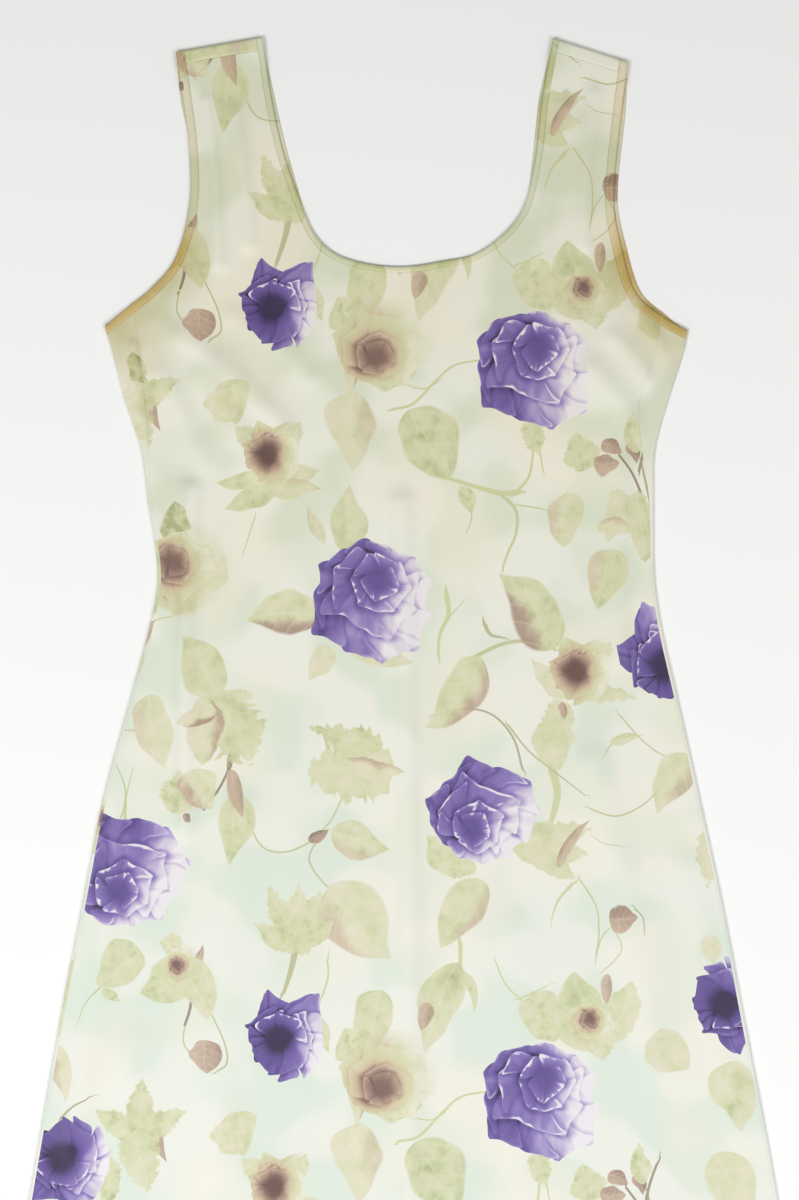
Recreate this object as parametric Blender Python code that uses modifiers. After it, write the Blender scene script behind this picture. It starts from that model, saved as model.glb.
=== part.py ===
"""Sleeveless scoop-neck sundress with an A-line skirt, laid flat on its back.

The back lies on the ground with the front on it. The side seams have rolled onto the front over the
bust, and the back straps turn over the shoulders and end in seams on the front. Narrow bands finish the
neck and the armholes.

Metres. +Y runs to the shoulders, +Z out of the front. A drop is measured down the dress from the top of
the shoulders, and a half width from its centre line. A sheet place is (half width, drop) on cloth that
is still unrolled: past a fold line it turns to the other side of the dress.
"""

import math
from collections import namedtuple

import bmesh
import bpy
from mathutils import Vector

LEFT = -1
RIGHT = 1
FRONT = "front"
BACK = "back"

LENGTH = 1.22  # shoulders to hem
HEM_RISE = 0.014  # how much shorter the sides are than the centre
WALL = 0.0012  # thickness of the cloth
SEAM = 0.0003  # gap between pieces that are sewn together
NECK_BAND = 0.0045
ARMHOLE_BAND = 0.0065
SHOULDER_WRAP = 0.008  # cloth of the back straps that lies on the front

SIDE_ROLL = 0.0012  # radius of the cloth's middle where it turns round a side
SHOULDER_ROLL = 0.0018  # the same where it turns over a shoulder
SIDE_REACH = 0.022  # how far in from a side the front settles down
SHOULDER_REACH = 0.045  # the same from a shoulder
SEAM_LIFT_REACH = 0.1  # how far down the side seams' rows follow the slant of the armholes
BACK_LEVEL = WALL / 2  # height of the middle of the back's cloth
FRONT_LEVEL = BACK_LEVEL + WALL + SEAM

CHEST_DROP = 0.222  # on the centre line, of the row that ends at the underarms

BODY_ROWS = 24
HALF_COLUMNS = 9
ARMHOLE_ROWS = 14
NECK_ROWS = 12
STRIP_COLUMNS = 2
TURN_STEPS = 4  # facets of a half turn
ROW_CROWDING = 1.3  # above 1, the rows of a panel stand closer near the bust

# Half widths at each drop, and how far each side seam has rolled in onto the front
Side = namedtuple("Side", "drop left right left_roll right_roll")
SIDES = (
    Side(0.225, 0.2273, 0.2226, 0.0225, 0.0200),
    Side(0.242, 0.2219, 0.2195, 0.0200, 0.0205),
    Side(0.281, 0.2118, 0.2072, 0.0140, 0.0205),
    Side(0.319, 0.1994, 0.1971, 0.0040, 0.0085),
    Side(0.358, 0.1940, 0.1960, 0.0010, 0.0020),
    Side(0.416, 0.1863, 0.1967, 0.0010, 0.0010),
    Side(0.455, 0.1925, 0.2018, 0.0010, 0.0010),
    Side(0.513, 0.2080, 0.2149, 0.0010, 0.0010),
    Side(0.590, 0.2288, 0.2319, 0.0010, 0.0010),
    Side(0.667, 0.2440, 0.2485, 0.0010, 0.0010),
    Side(0.744, 0.2590, 0.2632, 0.0010, 0.0010),
    Side(0.898, 0.2860, 0.2918, 0.0010, 0.0010),
    Side(1.206, 0.3380, 0.3380, 0.0010, 0.0010),
)

# The fold over each shoulder, from the neck to the armhole
Shoulder = namedtuple("Shoulder", "inner inner_drop outer outer_drop")
SHOULDERS = {
    LEFT: Shoulder(0.1059, 0.0006, 0.1724, 0.0122),
    RIGHT: Shoulder(0.1183, 0.0014, 0.1762, 0.0199),
}

# Free edges of the bands from the shoulder down; the back's edge shows past the front's by its peek
Edge = namedtuple("Edge", "half drop peek")
NECK_EDGES = {
    LEFT: (
        Edge(0.0989, 0.0487, 0.0025),
        Edge(0.0904, 0.0873, 0.0030),
        Edge(0.0773, 0.1260, 0.0010),
        Edge(0.0634, 0.1554, -0.0040),
        Edge(0.0425, 0.1708, -0.0070),
        Edge(0.0000, 0.1778, -0.0080),
    ),
    RIGHT: (
        Edge(0.1105, 0.0487, 0.0025),
        Edge(0.1044, 0.0989, 0.0020),
        Edge(0.0928, 0.1376, -0.0020),
        Edge(0.0618, 0.1662, -0.0060),
        Edge(0.0309, 0.1739, -0.0075),
        Edge(0.0000, 0.1778, -0.0080),
    ),
}
# The last place on each is where the side seam meets the armhole
ARMHOLE_EDGES = {
    LEFT: (
        Edge(0.1670, 0.0487, 0.0020),
        Edge(0.1623, 0.0873, -0.0010),
        Edge(0.1623, 0.1300, -0.0020),
        Edge(0.1739, 0.1724, -0.0020),
        Edge(0.1933, 0.1956, -0.0010),
        Edge(0.2070, 0.2066, 0.0000),
    ),
    RIGHT: (
        Edge(0.1716, 0.0564, 0.0030),
        Edge(0.1654, 0.1260, 0.0030),
        Edge(0.1716, 0.1646, 0.0040),
        Edge(0.1832, 0.1994, 0.0040),
        Edge(0.2048, 0.2172, 0.0020),
    ),
}
UNDERARM = {LEFT: 0.2226, RIGHT: 0.2265}

# Soft ridges in the front, each from one place to another
Fold = namedtuple("Fold", "x drop end_x end_drop width height")
FOLDS = (
    Fold(0.003, 0.310, 0.006, 0.760, 0.016, 0.0014),  # down the centre
    Fold(-0.155, 0.255, -0.128, 0.325, 0.016, 0.0022),  # from the left bust
    Fold(-0.124, 0.235, -0.078, 0.298, 0.018, 0.0016),
    Fold(0.176, 0.195, 0.186, 0.240, 0.014, 0.0018),  # below the right armhole
    Fold(-0.136, 0.040, -0.128, 0.140, 0.014, 0.0015),  # along the straps
    Fold(0.144, 0.045, 0.139, 0.130, 0.014, 0.0013),
    Fold(-0.165, 0.330, -0.160, 0.480, 0.016, 0.0012),  # beside the left waist
    Fold(-0.134, 0.410, -0.142, 0.660, 0.018, 0.0011),
    Fold(0.118, 0.560, 0.150, 0.870, 0.024, 0.0014),  # in the skirt
    Fold(-0.222, 0.620, -0.250, 0.830, 0.020, 0.0012),
    Fold(-0.090, 0.880, -0.128, 1.200, 0.030, 0.0020),
    Fold(0.175, 0.930, 0.222, 1.205, 0.030, 0.0018),
)

Look = namedtuple("Look", "colour roughness")
CLOTH = Look((0.61, 0.70, 0.57, 1.0), 0.62)
NECK_TRIM = Look((0.58, 0.62, 0.42, 1.0), 0.65)
ARMHOLE_TRIM = Look((0.54, 0.46, 0.24, 1.0), 0.65)


def smooth_at(keys, rows, at):
    """The value at a key of a smooth line through rows of numbers."""
    at = min(max(at, keys[0]), keys[-1])
    last = len(keys) - 1
    low = max(index for index in range(last) if keys[index] <= at)

    def slope(index):
        before = max(index - 1, 0)
        after = min(index + 1, last)
        return (rows[after] - rows[before]) / (keys[after] - keys[before])

    span = keys[low + 1] - keys[low]
    t = (at - keys[low]) / span
    start = rows[low] * (1 + 2 * t) * (1 - t) ** 2 + slope(low) * span * t * (1 - t) ** 2
    end = rows[low + 1] * t * t * (3 - 2 * t) - slope(low + 1) * span * t * t * (1 - t)
    return start + end


def fade(t):
    """1 at 0 and below, falling smoothly to 0 at 1."""
    t = min(max(t, 0), 1)
    return 1 - t * t * (3 - 2 * t)


SIDE_DROPS = [row.drop for row in SIDES]
SIDE_VALUES = [Vector(row[1:]) for row in SIDES]


def side_start(side, drop):
    """Half width at which the cloth starts to turn round a side."""
    half_width = smooth_at(SIDE_DROPS, SIDE_VALUES, drop)[0 if side == LEFT else 1]
    return half_width - SIDE_ROLL


def side_roll(side, drop):
    """How far the side seam lies in on the front."""
    return smooth_at(SIDE_DROPS, SIDE_VALUES, drop)[2 if side == LEFT else 3]


def shoulder_start(side, half):
    """Drop at which the cloth starts to turn over a shoulder."""
    fold = SHOULDERS[side]
    t = (half - fold.inner) / (fold.outer - fold.inner)
    return fold.inner_drop + (fold.outer_drop - fold.inner_drop) * t + SHOULDER_ROLL


def fold_height(x, drop):
    """Height that the soft ridges add to the front."""
    height = 0
    here = Vector((x, drop))
    for fold in FOLDS:
        start = Vector((fold.x, fold.drop))
        run = Vector((fold.end_x, fold.end_drop)) - start
        t = min(max((here - start).dot(run) / run.length_squared, 0), 1)
        away = (here - start - run * t).length
        height += fold.height * math.exp(-((away / fold.width) ** 2))
    return height


def top_level(side, half, drop):
    """Height of the middle of the cloth that lies on top."""
    from_side = max(side_start(side, drop) - half, 0)
    from_shoulder = max(drop - shoulder_start(side, half), 0)
    level = FRONT_LEVEL
    level += (BACK_LEVEL + 2 * SIDE_ROLL - FRONT_LEVEL) * fade(from_side / SIDE_REACH)
    level += (BACK_LEVEL + 2 * SHOULDER_ROLL - FRONT_LEVEL) * fade(from_shoulder / SHOULDER_REACH)
    clear = 1 - fade(min(from_side, from_shoulder) / SIDE_REACH)
    return level + fold_height(side * half, drop) * clear


def turn(past, radius):
    """How far out, and how far turned over (0 to 1), cloth is that runs past the start of a half turn."""
    angle = min(max(past / radius, 0), math.pi)
    out = min(past, 0) + radius * math.sin(angle) - max(past - math.pi * radius, 0)
    return out, (1 - math.cos(angle)) / 2


def lay(face, side, place):
    """Where a sheet place of the front or the back comes to lie."""
    half, drop = place
    start = side_start(side, drop)
    out, turned_in = turn(half - start, SIDE_ROLL)
    half = start + out
    start = shoulder_start(side, half)
    up, turned_down = turn(start - drop, SHOULDER_ROLL)
    drop = start - up
    turned = turned_in + turned_down
    on_top = 1 - turned if face == FRONT else turned
    z = BACK_LEVEL + (top_level(side, half, drop) - BACK_LEVEL) * on_top
    return Vector((side * half, LENGTH / 2 - drop, z))


def edge_line(rows, stretches, cloth_side, face, inset):
    """Places along a free edge from the shoulder, moved into the cloth by an inset.

    A stretch is the row that it ends at and its number of steps.
    """
    places = [Vector(row[:2]) for row in rows]
    keys = [0.0]
    for before, after in zip(places, places[1:]):
        keys.append(keys[-1] + (after - before).length)
    values = [Vector(row) for row in rows]
    stations = [0.0]
    for end, steps in stretches:
        start = stations[-1]
        stations += [start + (keys[end] - start) * step / steps for step in range(1, steps + 1)]
    line = []
    for number, at in enumerate(stations):
        value = smooth_at(keys, values, at)
        run = smooth_at(keys, values, at + SEAM) - smooth_at(keys, values, at - SEAM)
        inward = Vector((run[1], -run[0])).normalized() * cloth_side
        if number == 0:
            inward = Vector((cloth_side, 0))
        if number == len(stations) - 1:
            inward = Vector((0, 1))
        move = inset - (value[2] if face == BACK else 0)
        line.append(Vector((value[0], value[1])) + inward * move)
    return line


def over_shoulder(side, line):
    """A line led from the top of the shoulder's half turn down into the edge line."""
    half = line[0][0]
    start = shoulder_start(side, half)
    steps = [math.pi * SHOULDER_ROLL * step / TURN_STEPS for step in (2, 1, 0)]
    return [Vector((half, start - past)) for past in steps] + line[1:]


def neck_line(side, face, inset):
    """The neck's edge from the shoulder's fold to the centre line."""
    inner = SHOULDERS[side].inner
    top = Edge(inner, shoulder_start(side, inner), 0)
    first = NECK_EDGES[side][0]
    t = SHOULDER_WRAP / (first.drop - top.drop)
    seam = Edge(*(low + (high - low) * t for low, high in zip(top, first)))
    rows = (top, seam) + NECK_EDGES[side]
    line = edge_line(rows, ((1, 1), (len(rows) - 1, NECK_ROWS)), 1, face, inset)
    line[-1][0] = 0
    return over_shoulder(side, line)


def armhole_line(side, face, inset):
    """The armhole's edge from the shoulder's fold to the middle of the side's half turn."""
    outer = SHOULDERS[side].outer
    top = Edge(outer, shoulder_start(side, outer), 0)
    first = ARMHOLE_EDGES[side][0]
    t = SHOULDER_WRAP / (first.drop - top.drop)
    seam = Edge(*(low + (high - low) * t for low, high in zip(top, first)))
    low_drop = UNDERARM[side]
    underarm = Edge(side_start(side, low_drop), low_drop, 0)
    rows = (top, seam) + ARMHOLE_EDGES[side] + (underarm,)
    last = len(rows) - 1
    stretches = ((1, 1), (last - 1, ARMHOLE_ROWS), (last, STRIP_COLUMNS))
    line = edge_line(rows, stretches, -1, face, inset)
    start = side_start(side, low_drop + inset)
    steps = [math.pi * SIDE_ROLL * step / TURN_STEPS for step in (0, 1, 2)]
    line[-1:] = [Vector((start + past, low_drop + inset)) for past in steps]
    return over_shoulder(side, line)


# Places in the lists that neck_line and armhole_line give
SHOULDER_TURN = 2  # where the half turn over the shoulder ends
SHOULDER_SEAM = 3
NECK_CENTRE = SHOULDER_SEAM + NECK_ROWS
SEAM_TOP = SHOULDER_SEAM + ARMHOLE_ROWS  # where the side seam meets the armhole
SIDE_TURN = SEAM_TOP + STRIP_COLUMNS  # where the half turn round the side starts


def row_fractions():
    """How far up the body each row of a panel lies, from 0 at the hem to 1 at the armhole."""
    return [1 - (1 - row / BODY_ROWS) ** ROW_CROWDING for row in range(BODY_ROWS + 1)]


def side_drops(underarm):
    """Drop at the side of each row of a panel, from the hem up to the underarm."""
    hem = LENGTH - HEM_RISE
    return [hem + (underarm - hem) * fraction for fraction in row_fractions()]


def side_seam(side):
    """Laid places down the side seam on the front, one for each row, from the hem up."""
    armhole = armhole_line(side, FRONT, ARMHOLE_BAND + SEAM)
    top = armhole[SEAM_TOP]
    underarm = armhole[SIDE_TURN][1]
    places = []
    for drop in side_drops(underarm)[:-1]:
        drop -= (underarm - top[1]) * fade((drop - underarm) / SEAM_LIFT_REACH)
        places.append(Vector((side_start(side, drop) - side_roll(side, drop), drop)))
    return places + [top]


def body_row(outer, centre_drop):
    """A row from the centre line out to a place, bowed as the hem is."""
    row = []
    for column in range(HALF_COLUMNS + 1):
        t = column / HALF_COLUMNS
        row.append(Vector((outer[0] * t, centre_drop + (outer[1] - centre_drop) * t * t)))
    return row


def straight_row(inner, outer):
    return [inner.lerp(outer, column / HALF_COLUMNS) for column in range(HALF_COLUMNS + 1)]


def upper_rows(neck, armhole):
    """Rows above the underarm, between the centre line or neck and the armhole, both from below."""
    centre_rows = len(armhole) - len(neck)
    rows = []
    for number, outer in enumerate(armhole):
        if number < centre_rows:
            t = (number + 1) / (centre_rows + 1)
            inner = Vector((0, CHEST_DROP + (neck[0][1] - CHEST_DROP) * t))
        else:
            inner = neck[number - centre_rows]
        rows.append(straight_row(inner, outer))
    return rows


def shoulder_row(side, ends, past):
    """A row along a shoulder between two half widths, past where the cloth starts to turn over."""
    return straight_row(*(Vector((half, shoulder_start(side, half) - past)) for half in ends))


def front_half(side):
    """Sheet rows of half the front, hem to shoulder seam."""
    neck = neck_line(side, FRONT, NECK_BAND + SEAM)
    armhole = armhole_line(side, FRONT, ARMHOLE_BAND + SEAM)
    seam = [place - Vector((SEAM / 2, 0)) for place in side_seam(side)]
    rows = []
    for place, fraction in zip(seam, row_fractions()):
        rows.append(body_row(place, LENGTH + (CHEST_DROP - LENGTH) * fraction))
    up_neck = neck[NECK_CENTRE:SHOULDER_SEAM:-1]
    up_armhole = armhole[SEAM_TOP - 1 : SHOULDER_SEAM : -1]
    rows += upper_rows(up_neck, up_armhole)
    ends = (neck[SHOULDER_SEAM][0], armhole[SHOULDER_SEAM][0])
    return rows + [shoulder_row(side, ends, -SHOULDER_WRAP - SEAM / 2)]


def back_half(side):
    """Sheet rows of half the back, hem to shoulder seam, without what wraps round the side."""
    neck = neck_line(side, BACK, NECK_BAND + SEAM)
    armhole = armhole_line(side, BACK, ARMHOLE_BAND + SEAM)
    rows = []
    for drop, fraction in zip(side_drops(armhole[SIDE_TURN][1]), row_fractions()):
        outer = Vector((side_start(side, drop), drop))
        rows.append(body_row(outer, LENGTH + (CHEST_DROP - LENGTH) * fraction))
    up_neck = neck[NECK_CENTRE : SHOULDER_TURN - 1 : -1]
    up_armhole = armhole[SIDE_TURN - 1 : SHOULDER_TURN - 1 : -1]
    rows += upper_rows(up_neck, up_armhole)
    half_turn = math.pi * SHOULDER_ROLL
    ends = (neck[SHOULDER_TURN][0], armhole[SHOULDER_TURN][0])
    for step in range(1, TURN_STEPS + 1):
        rows.append(shoulder_row(side, ends, half_turn * step / TURN_STEPS))
    neck = neck_line(side, FRONT, NECK_BAND + SEAM)
    armhole = armhole_line(side, FRONT, ARMHOLE_BAND + SEAM)
    ends = (neck[SHOULDER_SEAM][0], armhole[SHOULDER_SEAM][0])
    return rows + [shoulder_row(side, ends, half_turn + SHOULDER_WRAP - SEAM / 2)]


def back_wrap(side):
    """Sheet rows of the cloth that goes round the side from the back to the side seam."""
    front_armhole = armhole_line(side, FRONT, ARMHOLE_BAND + SEAM)
    half_turn = math.pi * SIDE_ROLL
    rows = []
    for place, drop in zip(side_seam(side), side_drops(front_armhole[SIDE_TURN][1])):
        start = side_start(side, drop)
        row = [Vector((start + half_turn * step / TURN_STEPS, drop)) for step in range(TURN_STEPS + 1)]
        in_by = side_start(side, place[1]) - place[0] - SEAM / 2
        end = Vector((side_start(side, place[1]) + half_turn + in_by, place[1]))
        for column in range(1, STRIP_COLUMNS + 1):
            row.append(row[TURN_STEPS].lerp(end, column / STRIP_COLUMNS))
        rows.append(row)
    for column in range(1, STRIP_COLUMNS):
        half, drop = front_armhole[SIDE_TURN - column]
        start = side_start(side, drop)
        rows[-1][TURN_STEPS + column] = Vector((2 * start + half_turn - half, drop))
    return rows


def band_rows(stretches):
    """Laid rows of a band all round, from stretches of (face, side, free edge, sewn edge)."""
    rows = []
    for face, side, free, sewn in stretches:
        for places in zip(free, sewn):
            rows.append([lay(face, side, place) for place in places])
    return rows + rows[:1]


def neck_band_rows():
    """Over the left shoulder, round the front, over the right shoulder and round the back."""
    stretches = []
    for face, sides in ((FRONT, (LEFT, RIGHT)), (BACK, (RIGHT, LEFT))):
        down, up = sides
        first = [neck_line(down, face, inset) for inset in (0, NECK_BAND)]
        second = [neck_line(up, face, inset)[::-1] for inset in (0, NECK_BAND)]
        stretches.append((face, down, first[0][:-1], first[1][:-1]))
        stretches.append((face, up, second[0][:-1], second[1][:-1]))
    return band_rows(stretches)


def armhole_band_rows(side):
    """Down the front edge, round the underarm and up the back edge."""
    front = [armhole_line(side, FRONT, inset)[:-1] for inset in (0, ARMHOLE_BAND)]
    back = [armhole_line(side, BACK, inset)[:0:-1] for inset in (0, ARMHOLE_BAND)]
    return band_rows(((FRONT, side, *front), (BACK, side, *back)))


def add_sheet(mesh, rows):
    """A grid whose crossings lie at the places in rows."""
    columns = len(rows[0])
    made = bmesh.ops.create_grid(mesh, x_segments=columns - 1, y_segments=len(rows) - 1, size=1)
    by_place = sorted(made["verts"], key=lambda vert: (round(vert.co.y, 5), round(vert.co.x, 5)))
    for number, vert in enumerate(by_place):
        vert.co = rows[number // columns][number % columns]


def make_material(name, look):
    material = bpy.data.materials.new(name)
    material.use_nodes = True
    shader = material.node_tree.nodes["Principled BSDF"]
    shader.inputs["Base Color"].default_value = look.colour
    shader.inputs["Roughness"].default_value = look.roughness
    shader.inputs["Metallic"].default_value = 0.0
    return material


def make_cloth(name, sheets, look, collection):
    """A piece of cloth from sheets of laid rows, joined where they meet and given its thickness."""
    mesh = bmesh.new()
    for rows in sheets:
        add_sheet(mesh, rows)
    bmesh.ops.remove_doubles(mesh, verts=mesh.verts, dist=SEAM / 10)
    bmesh.ops.recalc_face_normals(mesh, faces=mesh.faces)
    data = bpy.data.meshes.new(name)
    mesh.to_mesh(data)
    mesh.free()
    data.shade_smooth()
    piece = bpy.data.objects.new(name, data)
    collection.objects.link(piece)
    data.materials.append(make_material(name, look))
    wall = piece.modifiers.new("wall", "SOLIDIFY")
    wall.thickness = WALL
    wall.offset = 0
    wall.use_even_offset = True
    return piece


def laid(face, side, rows):
    return [[lay(face, side, place) for place in row] for row in rows]


def clear_scene():
    for item in list(bpy.data.objects):
        bpy.data.objects.remove(item, do_unlink=True)


def main():
    clear_scene()
    collection = bpy.data.collections.new("sundress")
    bpy.context.scene.collection.children.link(collection)
    sides = (LEFT, RIGHT)
    front = [laid(FRONT, side, front_half(side)) for side in sides]
    back = [laid(BACK, side, back_half(side)) for side in sides]
    back += [laid(BACK, side, back_wrap(side)) for side in sides]
    make_cloth("front_panel", front, CLOTH, collection)
    make_cloth("back_panel", back, CLOTH, collection)
    make_cloth("neck_band", [neck_band_rows()], NECK_TRIM, collection)
    make_cloth("armhole_band_left", [armhole_band_rows(LEFT)], ARMHOLE_TRIM, collection)
    make_cloth("armhole_band_right", [armhole_band_rows(RIGHT)], ARMHOLE_TRIM, collection)


main()
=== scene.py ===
import math

import bmesh
import bpy
import numpy as np
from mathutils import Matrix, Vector


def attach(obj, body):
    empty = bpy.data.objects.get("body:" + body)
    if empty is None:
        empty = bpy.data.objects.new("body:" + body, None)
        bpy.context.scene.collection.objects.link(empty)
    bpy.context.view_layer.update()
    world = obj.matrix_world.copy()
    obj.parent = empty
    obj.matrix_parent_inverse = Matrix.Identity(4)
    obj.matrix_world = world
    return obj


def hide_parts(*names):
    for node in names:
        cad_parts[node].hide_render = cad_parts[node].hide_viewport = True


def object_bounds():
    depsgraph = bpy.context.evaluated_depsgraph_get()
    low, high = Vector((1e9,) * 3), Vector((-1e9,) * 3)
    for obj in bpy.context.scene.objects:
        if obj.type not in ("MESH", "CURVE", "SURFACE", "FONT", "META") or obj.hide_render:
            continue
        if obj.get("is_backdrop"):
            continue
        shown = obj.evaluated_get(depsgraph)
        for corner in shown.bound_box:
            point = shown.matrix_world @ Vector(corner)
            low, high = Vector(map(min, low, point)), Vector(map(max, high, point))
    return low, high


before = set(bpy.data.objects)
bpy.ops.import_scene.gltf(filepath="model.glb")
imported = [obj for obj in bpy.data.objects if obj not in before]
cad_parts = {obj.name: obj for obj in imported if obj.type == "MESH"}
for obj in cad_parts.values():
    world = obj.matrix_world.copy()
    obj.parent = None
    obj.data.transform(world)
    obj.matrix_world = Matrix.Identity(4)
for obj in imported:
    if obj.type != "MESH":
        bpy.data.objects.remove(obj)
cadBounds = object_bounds()

# Metres. +Y runs to the shoulders, +Z out of the front. A drop is measured down from the shoulders and
# a half width out from the centre line. A cut place is (half width, drop) on cloth still unrolled.
left, right = -1, 1
front, back = "front", "back"
topEdge = cadBounds[1][1]
dressLength = cadBounds[1][1] - cadBounds[0][1]

cloth = {
    "creasing": 1.35,  # how much deeper than the table the creases are
    "wall": 0.0005,  # thickness of the crepe
    "frontLift": 0.0013,  # how far the front's cloth lies over the back's
    "sideRoll": 0.0012,  # radius of the turn round a side
    "shoulderRoll": 0.0018,  # radius of the turn over a shoulder
    "sideReach": 0.022,  # how far in from a side the front settles down
    "shoulderReach": 0.045,
    "shoulderWrap": 0.008,  # cloth of the back straps that lies on the front
    "seamLiftReach": 0.1,  # how far down the rows follow the slant of the armholes
    "seamTuck": 0.0006,  # how far the front's last row lies past its seam at a shoulder
    "hemRise": 0.014,  # how much shorter the sides are than the centre
    "chestDrop": 0.222,  # centre of the row that ends at the underarms
    "hemTurn": 0.020,  # depth of the turned hem
    "hemStep": 0.0005,  # how far its extra layers lift the front
    "hemEase": 0.002,  # over what length they do
    "backCrease": 0.0005,  # height of the tallest creases pressed into the back
    "backShare": 0.3,  # how much of the front's creases the back takes, and from how far down
    "backSlip": 0.035,
}
binding = {"neck": 0.0045, "armhole": 0.0065, "dome": 0.0007}  # widths, and how far they round up
grid = {
    "bodyRows": 236,
    "armholeRows": 84,
    "neckRows": 72,
    "turnSteps": 8,
    "wrapRows": 4,
    "stripColumns": 4,
    "frontColumns": 56,
    "backColumns": 44,
    "wrapColumns": 9,
    "bindingColumns": 6,
    "rowCrowding": 1.3,
    "fineSteps": (0.0004, 0.0011, 0.0021, 0.0036),  # columns close to a seam
    "nudge": 0.0003,  # over what length an edge's direction is measured
    "weld": 0.00003,  # places nearer than this are one
}
backLevel = cloth["wall"] / 2
frontLevel = backLevel + cloth["frontLift"]
turnHalf = grid["turnSteps"] // 2
halfTurnSide = math.pi * cloth["sideRoll"]
halfTurnShoulder = math.pi * cloth["shoulderRoll"]

# Drop, half widths left and right, and how far each side seam has rolled onto the front
sides = (
    (0.225, 0.2273, 0.2226, 0.0225, 0.02),
    (0.242, 0.2219, 0.2195, 0.02, 0.0205),
    (0.281, 0.2118, 0.2072, 0.014, 0.0205),
    (0.319, 0.1994, 0.1971, 0.004, 0.0085),
    (0.358, 0.194, 0.196, 0.001, 0.002),
    (0.416, 0.1863, 0.1967, 0.001, 0.001),
    (0.455, 0.1925, 0.2018, 0.001, 0.001),
    (0.513, 0.208, 0.2149, 0.001, 0.001),
    (0.59, 0.2288, 0.2319, 0.001, 0.001),
    (0.667, 0.244, 0.2485, 0.001, 0.001),
    (0.744, 0.259, 0.2632, 0.001, 0.001),
    (0.898, 0.286, 0.2918, 0.001, 0.001),
    (1.206, 0.338, 0.338, 0.001, 0.001),
)
sideKeys = [row[0] for row in sides]
sideRows = [row[1:] for row in sides]

# The fold over each shoulder: half width and drop at the neck, then at the armhole
shoulders = {left: (0.1059, 0.0006, 0.1724, 0.0122), right: (0.1183, 0.0014, 0.1762, 0.0199)}

# Free edges of the bindings: half width, drop, and how far the back's edge shows past the front's
neckEdges = {
    left: (
        (0.0989, 0.0487, 0.0025),
        (0.0904, 0.0873, 0.003),
        (0.0773, 0.126, 0.001),
        (0.0634, 0.1554, -0.004),
        (0.0425, 0.1708, -0.007),
        (0, 0.1778, -0.008),
    ),
    right: (
        (0.1105, 0.0487, 0.0025),
        (0.1044, 0.0989, 0.002),
        (0.0928, 0.1376, -0.002),
        (0.0618, 0.1662, -0.006),
        (0.0309, 0.1739, -0.0075),
        (0, 0.1778, -0.008),
    ),
}
armholeEdges = {
    left: (
        (0.167, 0.0487, 0.002),
        (0.1623, 0.0873, -0.001),
        (0.1623, 0.13, -0.002),
        (0.1739, 0.1724, -0.002),
        (0.1933, 0.1956, -0.001),
        (0.207, 0.2066, 0),
    ),
    right: (
        (0.1716, 0.0564, 0.003),
        (0.1654, 0.126, 0.003),
        (0.1716, 0.1646, 0.004),
        (0.1832, 0.1994, 0.004),
        (0.2048, 0.2172, 0.002),
    ),
}
underarms = {left: 0.2226, right: 0.2265}

# Soft ridges of the front: x and drop of each end, sideways bow, width, height
creases = (
    (0.001, 0.36, 0.009, 0.9, 0.002, 0.009, 0.0034),  # down the centre
    (-0.168, 0.232, -0.088, 0.305, 0.004, 0.01, 0.0027),  # from the left bust
    (-0.15, 0.262, -0.112, 0.335, 0.003, 0.011, 0.0024),
    (-0.185, 0.262, -0.152, 0.33, 0.002, 0.009, 0.002),
    (-0.128, 0.216, -0.07, 0.262, 0.004, 0.009, 0.0014),
    (-0.206, 0.238, -0.197, 0.33, 0.001, 0.004, 0.0024),  # beside the left side seam
    (-0.149, 0.05, -0.14, 0.175, 0.002, 0.006, 0.0022),  # along the straps
    (-0.128, 0.06, -0.116, 0.16, 0.001, 0.007, 0.0021),
    (0.15, 0.045, 0.142, 0.16, -0.002, 0.007, 0.0022),
    (0.128, 0.055, 0.11, 0.17, -0.002, 0.008, 0.002),
    (0.15, 0.258, 0.196, 0.322, 0.003, 0.01, 0.0024),  # from the right bust
    (0.166, 0.232, 0.192, 0.266, 0.002, 0.007, 0.0018),
    (0.184, 0.212, 0.206, 0.246, 0.001, 0.006, 0.0016),
    (0.134, 0.222, 0.152, 0.282, 0.002, 0.009, 0.0013),
    (-0.16, 0.35, -0.165, 0.61, -0.003, 0.008, 0.0038),  # beside the left waist
    (-0.142, 0.41, -0.15, 0.56, -0.003, 0.012, 0.0014),
    (0.172, 0.33, 0.17, 0.48, -0.002, 0.009, 0.0026),  # beside the right waist
    (0.15, 0.56, 0.198, 0.8, 0.004, 0.014, 0.0024),  # in the skirt
    (0.226, 0.64, 0.264, 0.85, -0.003, 0.012, 0.002),
    (0.085, 0.69, 0.102, 0.9, 0.004, 0.02, 0.0014),
    (-0.222, 0.62, -0.252, 0.85, 0.003, 0.011, 0.0028),
    (-0.12, 0.6, -0.138, 0.88, -0.004, 0.016, 0.0024),
    (-0.206, 0.78, -0.224, 0.95, 0.003, 0.014, 0.0016),
    (0.03, 0.9, 0.046, 1.2, 0.006, 0.028, 0.0026),
    (-0.09, 0.88, -0.128, 1.2, 0.008, 0.026, 0.0024),
    (0.175, 0.93, 0.222, 1.205, -0.006, 0.026, 0.0022),
    (-0.235, 0.93, -0.276, 1.2, 0.004, 0.02, 0.0022),
    (0.262, 0.95, 0.292, 1.19, 0.003, 0.018, 0.0018),
)


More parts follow.
